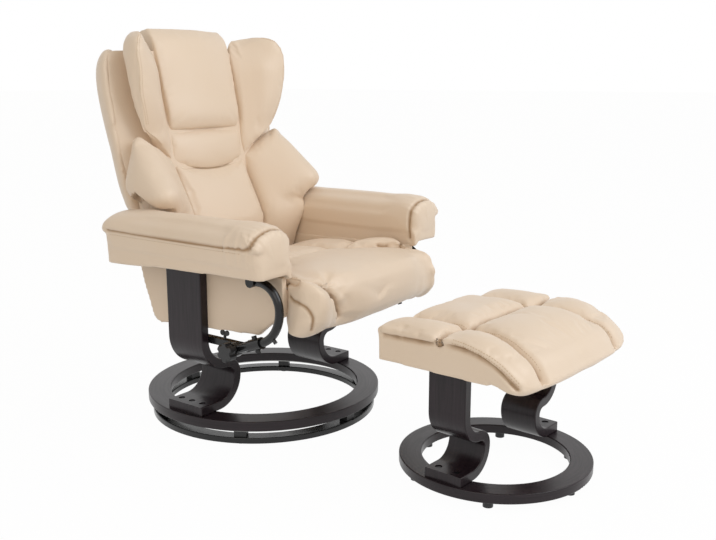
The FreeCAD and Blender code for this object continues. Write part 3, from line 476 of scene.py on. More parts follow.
def shove(obj, amount, way):
    """Moves each point by its own amount in one direction."""
    write(obj.data, read(obj.data) + amount[:, None] * np.array(way))


# Width of one gather across a seam, and of the painted shade deep in it
GATHER, PAINTED_SHADE_WIDTH = 11 * MM, 3.5 * MM


def groove(obj, line, depth, width, pucker, seed):
    """Draws a seam in along a line, with small gathers across it, and paints shade on the leather deep in it."""
    mesh = obj.data
    points = read(mesh)
    reach, along = far(points, line)
    near = reach < 6 * width
    push = depth * np.exp(-(reach / width) ** 2)
    spots = np.stack([along[near], np.zeros(near.sum()), reach[near] * 0.15], 1)
    push[near] += pucker * ripple(spots, GATHER, seed) * np.exp(-reach[near] / (2.2 * width))
    write(mesh, points - outward(mesh) * push[:, None])
    # Painted shade: the leather is darkened deep in the seam
    paint_shade(mesh, min(0.95, 5 * MM / width) * np.exp(-(reach / min(0.8 * width, PAINTED_SHADE_WIDTH)) ** 2))


# Half width of a channel between two columns, and how far from its bottom the cover is pinned
CHANNEL, PINNED = 9 * MM, 5 * MM


def draw_in(pad, line, depth, pins, where=1.0):
    """Draws a channel in along a line; gives the pins with the bottom of the channel added."""
    reach = far(read(pad.data), line)[0]
    sink(pad, depth * np.exp(-(reach / CHANNEL) ** 2) * where)
    return np.maximum(pins, np.clip(1.6 - reach / PINNED, 0, 1))


# Over what width the leather's slope is taken, and from how far above it a line is laid on it
SLOPE_WIDTH = LAID_FROM = 30 * MM


def laid_on(obj, line):
    """The line brought down to the surface that has been filled or drawn in since the line was made."""
    surface, points, ways = tree_of(obj), read(obj.data), outward(obj.data)
    laid = []
    for place in line:
        near = np.linalg.norm(points - place, axis=1) < SLOPE_WIDTH
        way = Vector(ways[near].mean(axis=0)).normalized()
        laid.append(cast(surface, Vector(place) + way * LAID_FROM, -way))
    return np.array([place for place in laid if place is not None])


def paint_shade(mesh, amount):
    """Paints shade on the leather, darkening it where it is not so dark already."""
    layer = mesh.attributes.get("crease") or mesh.attributes.new("crease", "FLOAT", "POINT")
    old = np.empty(len(mesh.vertices))
    layer.data.foreach_get("value", old)
    layer.data.foreach_set("value", np.maximum(old, amount).astype(np.float32))


def tuft(obj, spot, depth, radius, folds, lift, turn):
    """A pinched point with folds that run out from it."""
    mesh = obj.data
    points = read(mesh)
    away = points - np.array(spot)
    reach = np.linalg.norm(away, axis=1)
    angle = np.arctan2(away[:, 1], away[:, 0])
    push = depth * np.exp(-(reach / radius) ** 2)
    push += lift * np.cos(folds * angle + turn) * np.exp(-reach / (1.4 * radius)) * (
        1 - np.exp(-(reach / (0.4 * radius)) ** 2))
    write(mesh, points - outward(mesh) * push[:, None])


def soften(obj, amount, width, seed):
    """Slow unevenness of hand-filled leather."""
    sink(obj, amount * ripple(read(obj.data), width, seed))


def tree_of(obj):
    graph = bpy.context.evaluated_depsgraph_get()
    return BVHTree.FromObject(obj.evaluated_get(graph), graph)


def cast(tree, start, towards):
    hit = tree.ray_cast(Vector(start), Vector(towards).normalized())
    return None if hit[0] is None else np.array(hit[0])


def smooth_line(points, spacing=4 * MM):
    """Evenly spaced places on a soft curve through the points."""
    points = [np.array(p) for p in points if p is not None]
    ends = [2 * points[0] - points[1]] + points + [2 * points[-1] - points[-2]]
    out = []
    for p0, p1, p2, p3 in zip(ends[:-3], ends[1:-2], ends[2:-1], ends[3:]):
        for t in np.linspace(0, 1, max(2, int(np.linalg.norm(p2 - p1) / spacing)), endpoint=False):
            out.append(0.5 * (2 * p1 + (p2 - p0) * t + (2 * p0 - 5 * p1 + 4 * p2 - p3) * t ** 2
                              + (3 * p1 - p0 - 3 * p2 + p3) * t ** 3))
    out.append(points[-1])
    return np.array(out)


def on_back(x, up, out):
    return Vector((x, 0, 0)) + BACK_FOOT + BACK_UP * up + BACK_OUT * out


def off_board(points):
    """Height of each point along the back's board, and its distance out from it."""
    away = points - np.array(BACK_FOOT)
    return away @ np.array(BACK_UP), away @ np.array(BACK_OUT)


def flipped(obj, name):
    """The same piece for the other side of the chair."""
    mesh = obj.data.copy()
    mesh.name = name
    mesh.transform(Matrix.Scale(-1, 4, (1, 0, 0)))
    mesh.flip_normals()
    return add_object(name, mesh)


def upholster(obj, body, nodes):
    mesh = obj.data
    mesh.materials.clear()
    mesh.materials.append(bpy.data.materials["embossed_cream_leather"])
    mesh.shade_smooth()
    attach(obj, body)
    if nodes:
        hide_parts(*nodes)


SEAMS = {}


def sew(body, line):
    SEAMS.setdefault(body, []).append([p for p in line if p is not None])


def mirrored(line):
    return [None if p is None else p * np.array((-1, 1, 1)) for p in line]


# Operators
class RECLINER_OT_finishes(bpy.types.Operator):
    """Makes the leather, thread, wood, steel and plastic"""
    bl_idname = "recliner.finishes"
    bl_label = "Finishes"

    def execute(self, context):
        leather = context.scene.recliner_leather
        rigid = context.scene.recliner_frame
        leather_material(leather)
        thread_material(leather)
        wood_material("espresso_beech_leg", rigid, grain_along_leg)
        wood_material("espresso_beech_ring", rigid, grain_round((0, SWIVEL_Y, 0)))
        wood_material("espresso_beech_stool_ring", rigid, grain_round(STOOL_MIDDLE))
        black_steel_material(rigid)
        bare_steel_material("zinc_plated_steel", "#8C8C8A", "#A9A9A6", 0.3)
        bare_steel_material("blackened_bolt_steel", "#2A2A2C", "#48484A", 0.32)
        plastic_material(rigid)
        plywood_material()
        return {"FINISHED"}


class RECLINER_OT_base(bpy.types.Operator):
    """Finishes the floor ring, the ball race, the rings, the legs and the boards"""
    bl_idname = "recliner.base"
    bl_label = "Base and legs"

    def execute(self, context):
        wear("espresso_beech_ring", "wood_ring")
        wear("espresso_beech_stool_ring", "stool_ring")
        wear("espresso_beech_leg", "right_leg", "left_leg", "right_stool_leg", "left_stool_leg")
        wear("moulded_black_nylon", "floor_pads", "spacer_blocks", "stool_feet", "ball_cage",
             "right_knob", "left_knob", "wing_screws")
        wear("black_powder_coated_steel", "floor_ring")
        wear("zinc_plated_steel", "lower_race", "upper_race", "bearing_balls", "hinge_pins")
        wear("blackened_bolt_steel", "leg_bolts", "stool_bolts", "pivot_bolts")
        wear("raw_birch_plywood", "seat_panel", "stool_board")
        wear("embossed_cream_leather", "back_board")
        return {"FINISHED"}


class RECLINER_OT_steelwork(bpy.types.Operator):
    """Finishes the levers, side bars, hinges, straps and arm frames"""
    bl_idname = "recliner.steelwork"
    bl_label = "Steelwork"

    def execute(self, context):
        for side in ("right", "left"):
            wear("black_powder_coated_steel", *(side + end for end in (
                "_side_bar", "_pivot_arm", "_lever_tube", "_clamp_sleeve", "_seat_hinge", "_back_strap",
                "_arm_plate", "_arm_hanger")))
            wear("raw_birch_plywood", side + "_arm_frame")
        return {"FINISHED"}


def splay(x, seam, edge, new_seam, new_edge):
    """Spreads the columns of a cushion so that their seams run out towards the front corners."""
    away = np.abs(x)
    inner = away * new_seam / seam
    outer = new_seam + (away - seam) * (new_edge - new_seam) / (edge - seam)
    return np.sign(x) * np.where(away < seam, inner, outer)


# Rows of stitches run this far on either side of a channel
STITCHES_ASIDE = 9 * MM

# The seat's seams: half distance in mm and how much it grows to the front, half width of the cushion,
# place of the cross seam, and a height and a place that are on its top and on the front of its nose
SEAT_SEAM, SEAT_SPLAY, SEAT_HALF = 128, 97, 242
SEAT_CROSS = -156 * MM
SEAT_TOP, SEAT_NOSE = 0.44, -0.37

# Where the right seam runs on the front of the nose: height, half distance in mm
SEAT_FRONT_SEAM = ((321, 139), (349, 150), (386, 171), (419, 200), (432, 222))

# The seam round the right side of the nose, from the swivel axis: y, z in mm
SEAT_SIDE_FOLD = ((-312, 389), (-325, 383), (-346, 379), (-363, 371),
                  (-373, 360), (-377, 346), (-373, 330), (-366, 317))


class RECLINER_OT_seat(bpy.types.Operator):
    """Covers the seat box and sews the three-column seat cushion"""
    bl_idname = "recliner.seat"
    bl_label = "Seat"

    def execute(self, context):
        cover_seat_box()
        seat = tailor("seat_cushion_cover", ["seat_cushion"], 6 * MM)
        shape_seat(seat)
        sink(seat, 4 * MM)
        surface = tree_of(seat)
        right = [on_seat_top(surface, -1, y) for y in np.linspace(0.055, -0.325, 18)]
        right += [on_seat_nose(surface, z) for z in np.linspace(0.415, 0.325, 7)]
        left = [on_seat_top(surface, 1, y) for y in np.linspace(0.055, -0.295, 18)]
        channels = [smooth_line(right), smooth_line(left)]
        crease = smooth_line([cast(surface, (x, SWIVEL_Y + SEAT_CROSS, ABOVE), DOWN)
                              for x in np.linspace(-0.236, 0.236, 18)])
        pins = np.zeros(len(seat.data.vertices))
        for line, depth in zip(channels + [crease], (9, 9, 8)):
            pins = draw_in(seat, line, depth * MM, pins, ramp(read(seat.data)[:, 2], 0.29, 0.33))
        plump(seat, pins, 0.03, 5 * MM, rounds=4)
        refine(seat)
        for number, line in enumerate(channels):
            groove(seat, laid_on(seat, line), 4 * MM, 4.5 * MM, 3.0 * MM, 3 + number)
        front = channels[0][int(0.62 * len(channels[0])):]
        groove(seat, laid_on(seat, front), 6 * MM, 6 * MM, 4.5 * MM, 5)
        groove(seat, laid_on(seat, crease), 3 * MM, 5 * MM, 2.6 * MM, 9)
        surface = tree_of(seat)
        fold = [cast(surface, (-BESIDE, SWIVEL_Y + y * MM, z * MM), (1, 0, 0)) for y, z in SEAT_SIDE_FOLD]
        groove(seat, smooth_line(fold), 4.5 * MM, 4.5 * MM, 2.6 * MM, 11)
        for side in (-1, 1):
            tuft(seat, on_seat_top(tree_of(seat), side, SEAT_CROSS), 6 * MM, 20 * MM, 7, 2.6 * MM, side)
        tuft(seat, on_seat_nose(tree_of(seat), 0.392), 3 * MM, 24 * MM, 7, 4 * MM, 1)
        soften(seat, 1.2 * MM, 70 * MM, 4)
        surface = tree_of(seat)
        for side in (-1, 1):
            for aside in (-STITCHES_ASIDE, STITCHES_ASIDE):
                sew("swivel_frame", [on_seat_top(surface, side, y, aside) for y in np.linspace(0.05, -0.32, 60)])
        upholster(seat, "swivel_frame", ["seat_cushion"])
        return {"FINISHED"}


def cover_seat_box():
    """Covers the seat box, with its sides drawn up under the cushion and out to the front and the rear."""
    sides = tailor("seat_sides_cover", ["seat_box"], 4.5 * MM)
    points = read(sides.data)
    high = ramp(points[:, 2], 0.400, 0.424) * (np.abs(points[:, 0]) > 0.240)
    points[:, 2] += high * (1 + 7 * ramp(SWIVEL_Y - points[:, 1], -0.12, 0.28)) * MM
    points[:, 1] -= 9 * MM * ramp(SWIVEL_Y - points[:, 1], 0.250, 0.285)
    points[:, 1] += 7 * MM * ramp(points[:, 1] - SWIVEL_Y, 0.10, 0.16)
    write(sides.data, points)
    soften(sides, 1.2 * MM, 60 * MM, 2)
    upholster(sides, "swivel_frame", ["seat_box"])


def seat_seam(y, z, side=-1):
    """Half distance of the seams: both splay to the front edge, the right one turns in again below it."""
    top = SEAT_SEAM + SEAT_SPLAY * ramp(-np.asarray(y), 0.17, 0.30)
    heights, widths = zip(*SEAT_FRONT_SEAM)
    face = np.interp(np.asarray(z) / MM, heights, widths)
    turn = ramp(-np.asarray(y), 0.325, 0.355) * (np.asarray(side) < 0)
    return (top + (face - top) * turn) * MM


def on_seat_top(surface, side, y, aside=0.0):
    return cast(surface, (side * seat_seam(y, SEAT_TOP) + aside, SWIVEL_Y + y, ABOVE), DOWN)


def on_seat_nose(surface, z):
    return cast(surface, (-seat_seam(SEAT_NOSE, z), -BESIDE, z), (0, 1, 0))


def shape_seat(seat):
    """Splays the seams, lowers the middle of the front roll and spreads the nose over the seat box."""
    mesh = seat.data
    points = read(mesh)
    y, z = points[:, 1] - SWIVEL_Y, points[:, 2].copy()
    middle = 1 - ramp(np.abs(points[:, 0]), 0.110, 0.150) * (1 - ramp(-y, 0.25, 0.31))
    flatten = (0.10 + 0.27 * middle) * ramp(-y, 0.15, 0.22) + 0.15 * (1 - ramp(-y, 0.15, 0.22))
    points[:, 2] -= np.clip(z - 0.400, 0, None) * flatten
    wide = np.maximum(ramp(-y, 0.319, 0.350), ramp(-y, 0.294, 0.306) * ramp(-z, -0.432, -0.422))
    points[:, 0] = splay(points[:, 0], SEAT_SEAM * MM, SEAT_HALF * MM,
                         seat_seam(y, points[:, 2], points[:, 0]), SEAT_HALF * MM * (1 + 0.07 * wide))
    write(mesh, points)
    nose = ramp(-y, 0.30, 0.34) * ramp(-z, -0.355, -0.325)
    left_end = ramp(-y, 0.285, 0.32) * ramp(points[:, 0], 0.16, 0.20)
    relax(mesh, 60, np.maximum(nose, left_end))
    sink(seat, -5 * MM * nose - 6 * MM * left_end * ramp(-z, -0.40, -0.36))
    shove(seat, 10 * MM * ramp(read(mesh)[:, 0], 0.15, 0.26) * ramp(-y, 0.30, 0.35), (0, 1, 0))


# Noise seeds of the bolster and the wing
BOLSTER_SEED, WING_SEED = 7, 4


class RECLINER_OT_back(bpy.types.Operator):
    """Sews the shell, lining, panel, bolsters, neck roll, head pillow and wings"""
    bl_idname = "recliner.back"
    bl_label = "Back"

    def execute(self, context):
        shell = tailor("back_shell_cover", ["back_shell"], 6 * MM)
        widen_shell(shell)
        round_lip(shell)
        sink(shell, -3.5 * MM)
        soften(shell, 1.5 * MM, 110 * MM, 5)
        refine(shell)
        upholster(shell, "back", ["back_shell"])
        upholster(back_lining(shell), "back", [])
        pads = []
        for name, label, inset, cap in (("back_panel", "lumbar_panel_cover", 1.5, 4),
                                        ("neck_roll", "neck_roll_cover", 1.5, 4),
                                        ("head_pillow", "head_pillow_cover", -1.0, 1.5)):
            pad = tailor(label, [name], 5 * MM)
            points = read(pad.data)
            up = off_board(points)[0]
            if name == "head_pillow":
                shove(pad, 8 * MM * ramp(up, 0.44, 0.53), BACK_UP)
            if name == "neck_roll":
                sag = 1 - 0.5 * (points[:, 0] / 0.126) ** 2
                shove(pad, -13 * MM * (1 - ramp(up, 0.215, 0.285)) * sag, BACK_UP)
            fill_back_pad(pad, inset, cap * MM, len(name))
            upholster(pad, "back", [name])
            pads.append(pad)
        bolster = tailor("right_bolster_cover", ["right_bolster"], 6 * MM, filling=bolster_filling())
        fill_bolster(bolster)
        lift_rear(bolster, BOLSTER_LIFT, 0.215, 0.250)
        fill_back_pad(bolster, 1.5, 4 * MM, BOLSTER_SEED)
        clear_arm(bolster)
        pads += both_sides(bolster, "bolster")
        wing = tailor("right_wing_cover", ["right_wing"], 5 * MM)
        lift_rear(wing, WING_LIFT, 0.170, 0.225)
        fold_wing(wing)
        fill_back_pad(wing, 1.5, 4 * MM, WING_SEED)
        pads += both_sides(wing, "wing")
        sew_wing(wing)
        shade_contacts(pads)
        return {"FINISHED"}


def both_sides(pad, name):
    """Covers a piece on the right of the back and its mirror image on the left."""
    other = flipped(pad, "left_" + name + "_cover")
    upholster(pad, "back", ["right_" + name])
    upholster(other, "back", ["left_" + name])
    return [pad, other]


# How near two pads are where shade is painted on their leather
CONTACT = 9 * MM


def shade_contacts(pads):
    """Paints shade on the leather where one pad lies against the next."""
    trees = [tree_of(pad) for pad in pads]
    for pad in pads:
        points = read(pad.data)
        amount = np.zeros(len(points))
        for other, tree in zip(pads, trees):
            if other is pad:
                continue
            corners = np.array([c[:] for c in other.bound_box])
            close = np.all((points > corners.min(axis=0) - CONTACT)
                           & (points < corners.max(axis=0) + CONTACT), axis=1)
            for i in np.flatnonzero(close):
                hit = tree.find_nearest(Vector(points[i]), CONTACT)
                if hit[0] is not None:
                    amount[i] = max(amount[i], 0.8 * math.exp(-(hit[3] / PAINTED_SHADE_WIDTH) ** 2))
        paint_shade(pad.data, amount)


# The round end of the bolster where it lies over the arm, from the swivel axis: middle and radii in mm
BOLSTER_LOBE = ((-268, 66, 585), (40, 42, 33))

# Stud on which the arm turns against the back, and the top, inner side, top corner and rear end of the
# covered arm, in mm; the rear end is from the stud
ARM_STUD = (94.5, 455.7)
ARM_TOP, ARM_INSIDE, ARM_CORNER, ARM_REAR = 557, 243, 16, 105

# Angles of the recline, in degrees, at which the bolster is kept clear of the arm
RECLINES = (0, 6, 12, 18, 24, 30)

# A point that would be deeper than this in the arm, and nearer than this to its inner side, goes inwards;
# any other one goes up
ARM_EDGE = 12 * MM


def clear_arm(pad):
    """Draws the bolster clear of the arm at rest and through the recline."""
    points = read(pad.data)
    for angle in np.radians(RECLINES):
        y, z = points[:, 1] - SWIVEL_Y - ARM_STUD[0] * MM, points[:, 2] - ARM_STUD[1] * MM
        back, up = y * math.cos(angle) + z * math.sin(angle), z * math.cos(angle) - y * math.sin(angle)
        inside = -points[:, 0] - ARM_INSIDE * MM
        edge = np.clip(1 - inside / (ARM_CORNER * MM), 0, 1)
        top = (ARM_TOP - ARM_STUD[1]) * MM - ARM_CORNER * MM * edge ** 2
        deep = np.where((inside > 0) & (back < ARM_REAR * MM), np.clip(top - up, 0, None), 0)
        over = (deep > 0) & ((inside > ARM_EDGE) | (deep < ARM_EDGE))
        up = np.where(over, top, up)
        points[:, 1] = SWIVEL_Y + ARM_STUD[0] * MM + back * math.cos(angle) - up * math.sin(angle)
        points[:, 2] = ARM_STUD[1] * MM + back * math.sin(angle) + up * math.cos(angle)
        points[:, 0] = np.where((deep > 0) & ~over, -ARM_INSIDE * MM, points[:, 0])
    write(pad.data, points)


def bolster_filling():
    """Points round the upper part of the bolster and round the end that lies over the arm."""
    upper = read(bpy.data.objects["right_bolster"].data)
    upper = upper[(upper[:, 2] > 0.585) | ((upper[:, 2] > 0.525) & (upper[:, 0] > -0.236))]
    middle, radii = (np.array(values) * MM for values in BOLSTER_LOBE)
    middle[1] += SWIVEL_Y
    turns = np.linspace(0, 2 * math.pi, 24, endpoint=False)
    lobe = [middle + radii * (math.cos(t) * math.cos(h), math.sin(t) * math.cos(h), math.sin(h))
            for t in turns for h in np.linspace(-1.4, 1.4, 9)]
    return [Vector(p) for p in upper[::3]] + [Vector(p) for p in lobe]


def fill_bolster(pad):
    """Brings the lower outer side of the bolster up to the inside of the arm, and evens its outer edge."""
    points = read(pad.data)
    low = ramp(-points[:, 2], -0.560, -0.520)
    outer = np.clip((-points[:, 0] - 0.150) / 0.060, 0, 1)
    reach = np.clip(0.2415 + points[:, 0], 0, 0.03)
    points[:, 0] -= low * outer * reach * 0.9
    write(pad.data, points)
    relax(pad.data, 26, ramp(points[:, 2], 0.535, 0.560) * ramp(-points[:, 0], 0.19, 0.23))


# Heights of the rows of the lining that closes the gap between the shell and the pads, the places of
# its corners from one lip of the shell to the other, and its distance from the board in the middle
LINING_ROWS = (0.02, 0.08, 0.14, 0.20, 0.26, 0.32, 0.38, 0.43, 0.47, 0.495, 0.515)
LINING_PLACES = (-1, -0.93, -0.82, -0.5, 0, 0.5, 0.82, 0.93, 1)
LINING_OUT = 24 * MM


def back_lining(shell):
    """Leather over the board, from one lip of the shell to the other."""
    points = read(shell.data)
    ups, outs = off_board(points)
    made = bmesh.new()
    rows = []
    for up in LINING_ROWS:
        near = np.flatnonzero((np.abs(ups - up) < 7 * MM) & (points[:, 0] < -0.15))
        lip = near[np.argmax(outs[near])]
        half, edge = -points[lip, 0], outs[lip] - 1 * MM
        rows.append([made.verts.new(on_back(place * half, up, edge + (LINING_OUT - edge) * (1 - abs(place) ** 8)))
                     for place in LINING_PLACES])
    for low, high in zip(rows[:-1], rows[1:]):
        for i in range(len(LINING_PLACES) - 1):
            made.faces.new((low[i], low[i + 1], high[i + 1], high[i]))
    mesh = bpy.data.meshes.new("back_lining")
    made.to_mesh(mesh)
    made.free()
    obj = add_object("back_lining", mesh)
    thick = obj.modifiers.new("thick", "SOLIDIFY")
    thick.thickness = 3 * MM
    smooth = obj.modifiers.new("smooth", "SUBSURF")
    smooth.levels = smooth.render_levels = 3
    bake(obj)
    return obj


def fill_back_pad(pad, inset, cap, seed):
    """Fills a pad of the back as far as cap, held where it lies on the board."""
    sink(pad, inset * MM)
    facing = outward(pad.data) @ np.array(BACK_OUT)
    plump(pad, np.clip(-1.5 * facing - 0.5, 0, 1), 0.0, cap)
    refine(pad)
    soften(pad, 0.9 * MM, 60 * MM, seed)


# How the rear of a pad comes forward towards its outer edge, in mm: height, front of the pad, lift of
# its rear; the lift grows from the front and is full at this depth behind it
WING_LIFT = ((300, 61, 44), (332, 75, 40), (362, 87, 30), (392, 97, 22), (422, 104, 16), (452, 112, 11),
             (500, 116, 0))
BOLSTER_LIFT = ((150, 152, 0), (188, 132, 8), (218, 109, 13), (248, 88, 19), (278, 65, 23))
LIFT_DEPTH = 58 * MM


def lift_rear(pad, table, root, edge):
    """Thins the pad from root to edge, its outer part."""
    heights, fronts, lifts = np.array(table).T * MM
    points = read(pad.data)
    up, out = off_board(points)
    rear = np.clip((np.interp(up, heights, fronts) - out) / LIFT_DEPTH, 0, 1)
    shove(pad, np.interp(up, heights, lifts) * rear * ramp(np.abs(points[:, 0]), root, edge), BACK_OUT)


def fold_wing(pad):
    """Lays the inner top corner of the wing back, behind the pillow."""
    points = read(pad.data)
    up, out = off_board(points)
    half, top = np.abs(points[:, 0]), ramp(up, 0.450, 0.570)
    share = 0.6 * top * (1 - ramp(half, 0.165, 0.245)) + 0.13 * (1 - top) * (1 - ramp(half, 0.150, 0.200))
    shove(pad, -share * np.clip(out - 5 * MM, 0, None), BACK_OUT)


def widen_shell(shell):
    """Raises the top of the shell and widens it over the arms."""
    points = read(shell.data)
    wide = ramp(-points[:, 2], -0.70, -0.57) * ramp(points[:, 2], 0.50, 0.55)
    lift = 12 * MM * ramp(off_board(points)[0], 0.36, 0.50)
    points[:, 0] += np.sign(points[:, 0]) * 16 * MM * wide
    write(shell.data, points + lift[:, None] * np.array(BACK_UP))


# The lip of the shell: height, how far out, in mm
SHELL_LIP = ((50, -14), (210, -7), (290, 5), (370, 15), (450, 22), (490, 24))


def round_lip(shell):
    """Rounds the lip, so that the side of the shell runs on into the lining."""
    points = read(shell.data)
    up, out = off_board(points)
    past = out - np.interp(up, *(np.array(SHELL_LIP).T * MM))
    relax(shell.data, 24, ramp(past, -0.030, -0.012) * ramp(np.abs(points[:, 0]), 0.22, 0.25))


# The double-stitched outer edge of a wing: height, half width
WING_EDGE = ((0.325, 0.236), (0.39, 0.259), (0.45, 0.264), (0.49, 0.266), (0.525, 0.252), (0.545, 0.228))


def sew_wing(wing):
    surface = tree_of(wing)
    for inset in (3 * MM, 8.5 * MM):
        line = smooth_line([cast(surface, on_back(-half + inset, up, 0.4), -BACK_OUT) for up, half in WING_EDGE])
        line = [cast(surface, Vector(p) + BACK_OUT * 0.1, -BACK_OUT) for p in line]
        sew("back", line)
        sew("back", mirrored(line))


# Rays for the seam over the front end of the right arm, from its outer side round to its inner one: the
# start, with y from the front of the pad, and the way
ARM_CAP = (((-0.6, 0.018, 0.512), (1, 0, 0)), ((-0.45, 0.011, 0.60), (0.75, 0, -0.6)),
           ((-0.335, 0.009, 0.70), DOWN), ((-0.300, 0.009, 0.70), DOWN), ((-0.270, 0.010, 0.70), DOWN),
           ((-0.1, 0.015, 0.52), (-1, 0, 0)), ((-0.1, 0.016, 0.48), (-1, 0, 0)),
           ((-0.1, 0.017, 0.45), (-1, 0, 0)))

# The flat inner wall of the right arm, and the heights of the seam and the stitches on its outer side
ARM_WALL, ARM_SEAM, ARM_STITCHES = -0.2475, 0.506, 0.497


class RECLINER_OT_arms(bpy.types.Operator):
    """Covers the two pillow-top arms"""
    bl_idname = "recliner.arms"
    bl_label = "Arms"

    def execute(self, context):
        arm = tailor("right_arm_cover", ["right_arm_pad", "right_arm_skirt"], 4.5 * MM, ["right_arm_pad"])
        front, rear = (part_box("right_arm_pad")[i].y for i in (0, 1))
        shape_arm(arm, front, rear)
        plump(arm, ramp(-read(arm.data)[:, 2], -0.47, -0.45), 0.0, 4 * MM)
        refine(arm)
        surface = tree_of(arm)
        outer = on_arm_side(surface, ARM_SEAM, np.linspace(rear - 0.02, front + 0.030, 26))
        cap = [cast(surface, (x, front + y, z), way) for (x, y, z), way in ARM_CAP]
        groove(arm, smooth_line(outer + cap), 5 * MM, 5 * MM, 1.2 * MM, 31)
        groove(arm, smooth_line(outer[-5:] + cap[:6]), 1.5 * MM, 13 * MM, 5 * MM, 33)
        tuft(arm, cap[0], 2 * MM, 16 * MM, 8, 2.2 * MM, 0.4)
        soften(arm, 1.0 * MM, 60 * MM, 7)
        other = flipped(arm, "left_arm_cover")
        upholster(arm, "right_arm", ["right_arm_pad", "right_arm_skirt"])
        upholster(other, "left_arm", ["left_arm_pad", "left_arm_skirt"])
        row = on_arm_side(tree_of(arm), ARM_STITCHES, np.linspace(rear - 0.03, front + 0.05, 60))
        sew("right_arm", row)
        sew("left_arm", mirrored(row))
        return {"FINISHED"}


def on_arm_side(surface, height, places):
    return [cast(surface, (-BESIDE, y, height), (1, 0, 0)) for y in places]


def shape_arm(arm, front, rear):
    """Flattens the inner wall, rounds the crown and draws the ends of the pad out and the rear down."""
    mesh = arm.data
    points = read(mesh)
    facing = ramp(outward(mesh)[:, 0], 0.2, 0.6) * ramp(points[:, 0], -0.275, -0.262)
    wall = facing * ramp(points[:, 2], 0.425, 0.44) * ramp(-points[:, 2], -0.535, -0.505)
    points[:, 0] += (ARM_WALL - points[:, 0]) * wall
    points[:, 2] -= 12 * MM * ramp(points[:, 0], -0.262, -0.256) * ramp(-points[:, 2], -0.455, -0.44)
    write(mesh, points)
    inner = ramp(points[:, 0], -0.300, -0.270)
    crown = ramp(points[:, 2], 0.500, 0.520)
    relax(mesh, 46, np.maximum(crown * 0.7, inner * ramp(points[:, 2], 0.46, 0.48)))
    sink(arm, -4.0 * MM * ramp(points[:, 2], 0.44, 0.50))
    points = read(mesh)
    behind = ramp(points[:, 1], rear - 0.06, rear - 0.01)
    points[:, 1] += 9 * MM * behind - 4 * MM * ramp(-points[:, 1], -front - 0.03, -front)
    ahead = ramp(-points[:, 1], -front - 0.12, -front - 0.04)
    points[:, 2] += 5 * MM * ahead * ramp(points[:, 2], 0.50, 0.54)
    points[:, 2] -= 6 * MM * ramp(points[:, 1], rear - 0.25, rear) * ramp(-points[:, 2], -0.50, -0.46)
    write(mesh, points)


# The footstool's seams: half distance in mm and how much it grows to the front, half width of the
# cushion, place of the cross seam and of its two pinched ends
STOOL_SEAM, STOOL_SPLAY, STOOL_HALF = 126, 32, 238
STOOL_CROSS, STOOL_PINCH = -5 * MM, 226 * MM

# The seam between the footstool's side and its side column, from the rear to the nose: y, z in mm
STOOL_SIDE_SEAM = ((134, 340), (110, 340), (80, 341), (20, 343), (-5, 346), (-40, 347), (-81, 343),
                   (-120, 332), (-150, 317), (-172, 300), (-184, 288))


class RECLINER_OT_footstool(bpy.types.Operator):
    """Covers the footstool's apron and board and sews its cushion"""
    bl_idname = "recliner.footstool"
    bl_label = "Footstool"

    def execute(self, context):
        nodes = ["stool_apron", "stool_board", "stool_cushion"]
        pad = tailor("footstool_cover", nodes, 5 * MM, ["stool_cushion"])
        shape_stool(pad)
        sink(pad, 2.5 * MM * ramp(read(pad.data)[:, 2], 0.330, 0.345))
        surface = tree_of(pad)
        forward = STOOL_TURN @ Vector((0, 1, 0))
        lines = []
        for side in (-1, 1):
            points = [on_stool_top(surface, side * stool_seam(y), y) for y in np.linspace(0.14, -0.185, 14)]
            points += [cast(surface, across_stool(side * stool_seam(-0.2), -BESIDE, z), forward)
                       for z in (0.322, 0.310, 0.298, 0.288)]
            lines.append(smooth_line(points))
        lines.append(smooth_line([on_stool_top(surface, x, STOOL_CROSS) for x in np.linspace(-0.235, 0.235, 18)]))
        pins = ramp(-read(pad.data)[:, 2], -0.345, -0.325)
        for line, depth in zip(lines, (15, 15, 12)):
            pins = draw_in(pad, line, depth * MM, pins)
        plump(pad, pins, 0.02, 7 * MM, rounds=4)
        refine(pad)
        for number, line in enumerate(lines):
            groove(pad, laid_on(pad, line), 5 * MM, 4.5 * MM, 2.4 * MM, 20 + number)
        for side in (-1, 1):
            surface = tree_of(pad)
            seam, lip = (smooth_line(on_stool_side(surface, side, stool_side_starts(side, rise)))
                         for rise in (0, 10))
            sink(pad, -4.5 * MM * np.exp(-(far(read(pad.data), lip)[0] / CHANNEL) ** 2))
            groove(pad, seam, 9 * MM, 4 * MM, 0.8 * MM, 24 + side)
            spot = on_stool_top(tree_of(pad), side * STOOL_PINCH, STOOL_CROSS)
            tuft(pad, spot, 2 * MM, 13 * MM, 6, 0.8 * MM, side)
            spot = on_stool_top(tree_of(pad), side * stool_seam(0), STOOL_CROSS)
            tuft(pad, spot, 4 * MM, 18 * MM, 7, 2.2 * MM, 2 + side)
        soften(pad, 1.2 * MM, 70 * MM, 11)
        surface = tree_of(pad)
        for side in (-1, 1):
            for aside in (-STITCHES_ASIDE, STITCHES_ASIDE):
                sew("footstool", [on_stool_top(surface, side * stool_seam(y) + aside, y)
                                  for y in np.linspace(0.135, -0.185, 34)])
            for rise in (8, 14):
                starts = smooth_line(stool_side_starts(side, rise, -20))
                sew("footstool", on_stool_side(surface, side, starts))
        upholster(pad, "footstool", nodes)
        return {"FINISHED"}


def across_stool(x, y, z):
    return STOOL_TURN @ Vector((x, y, 0)) + STOOL_MIDDLE + Vector((0, 0, z))


def stool_seam(y):
    return (STOOL_SEAM + STOOL_SPLAY * ramp(-y, 0.0, 0.19)) * MM


def on_stool_top(surface, x, y):
    return cast(surface, across_stool(x, y, ABOVE), DOWN)


def stool_side_starts(side, rise, rear=math.inf):
    """Places beside the side seam, raised by so many mm and in front of rear."""
    return [across_stool(side * BESIDE, y * MM, (z + rise) * MM) for y, z in STOOL_SIDE_SEAM if y < rear]


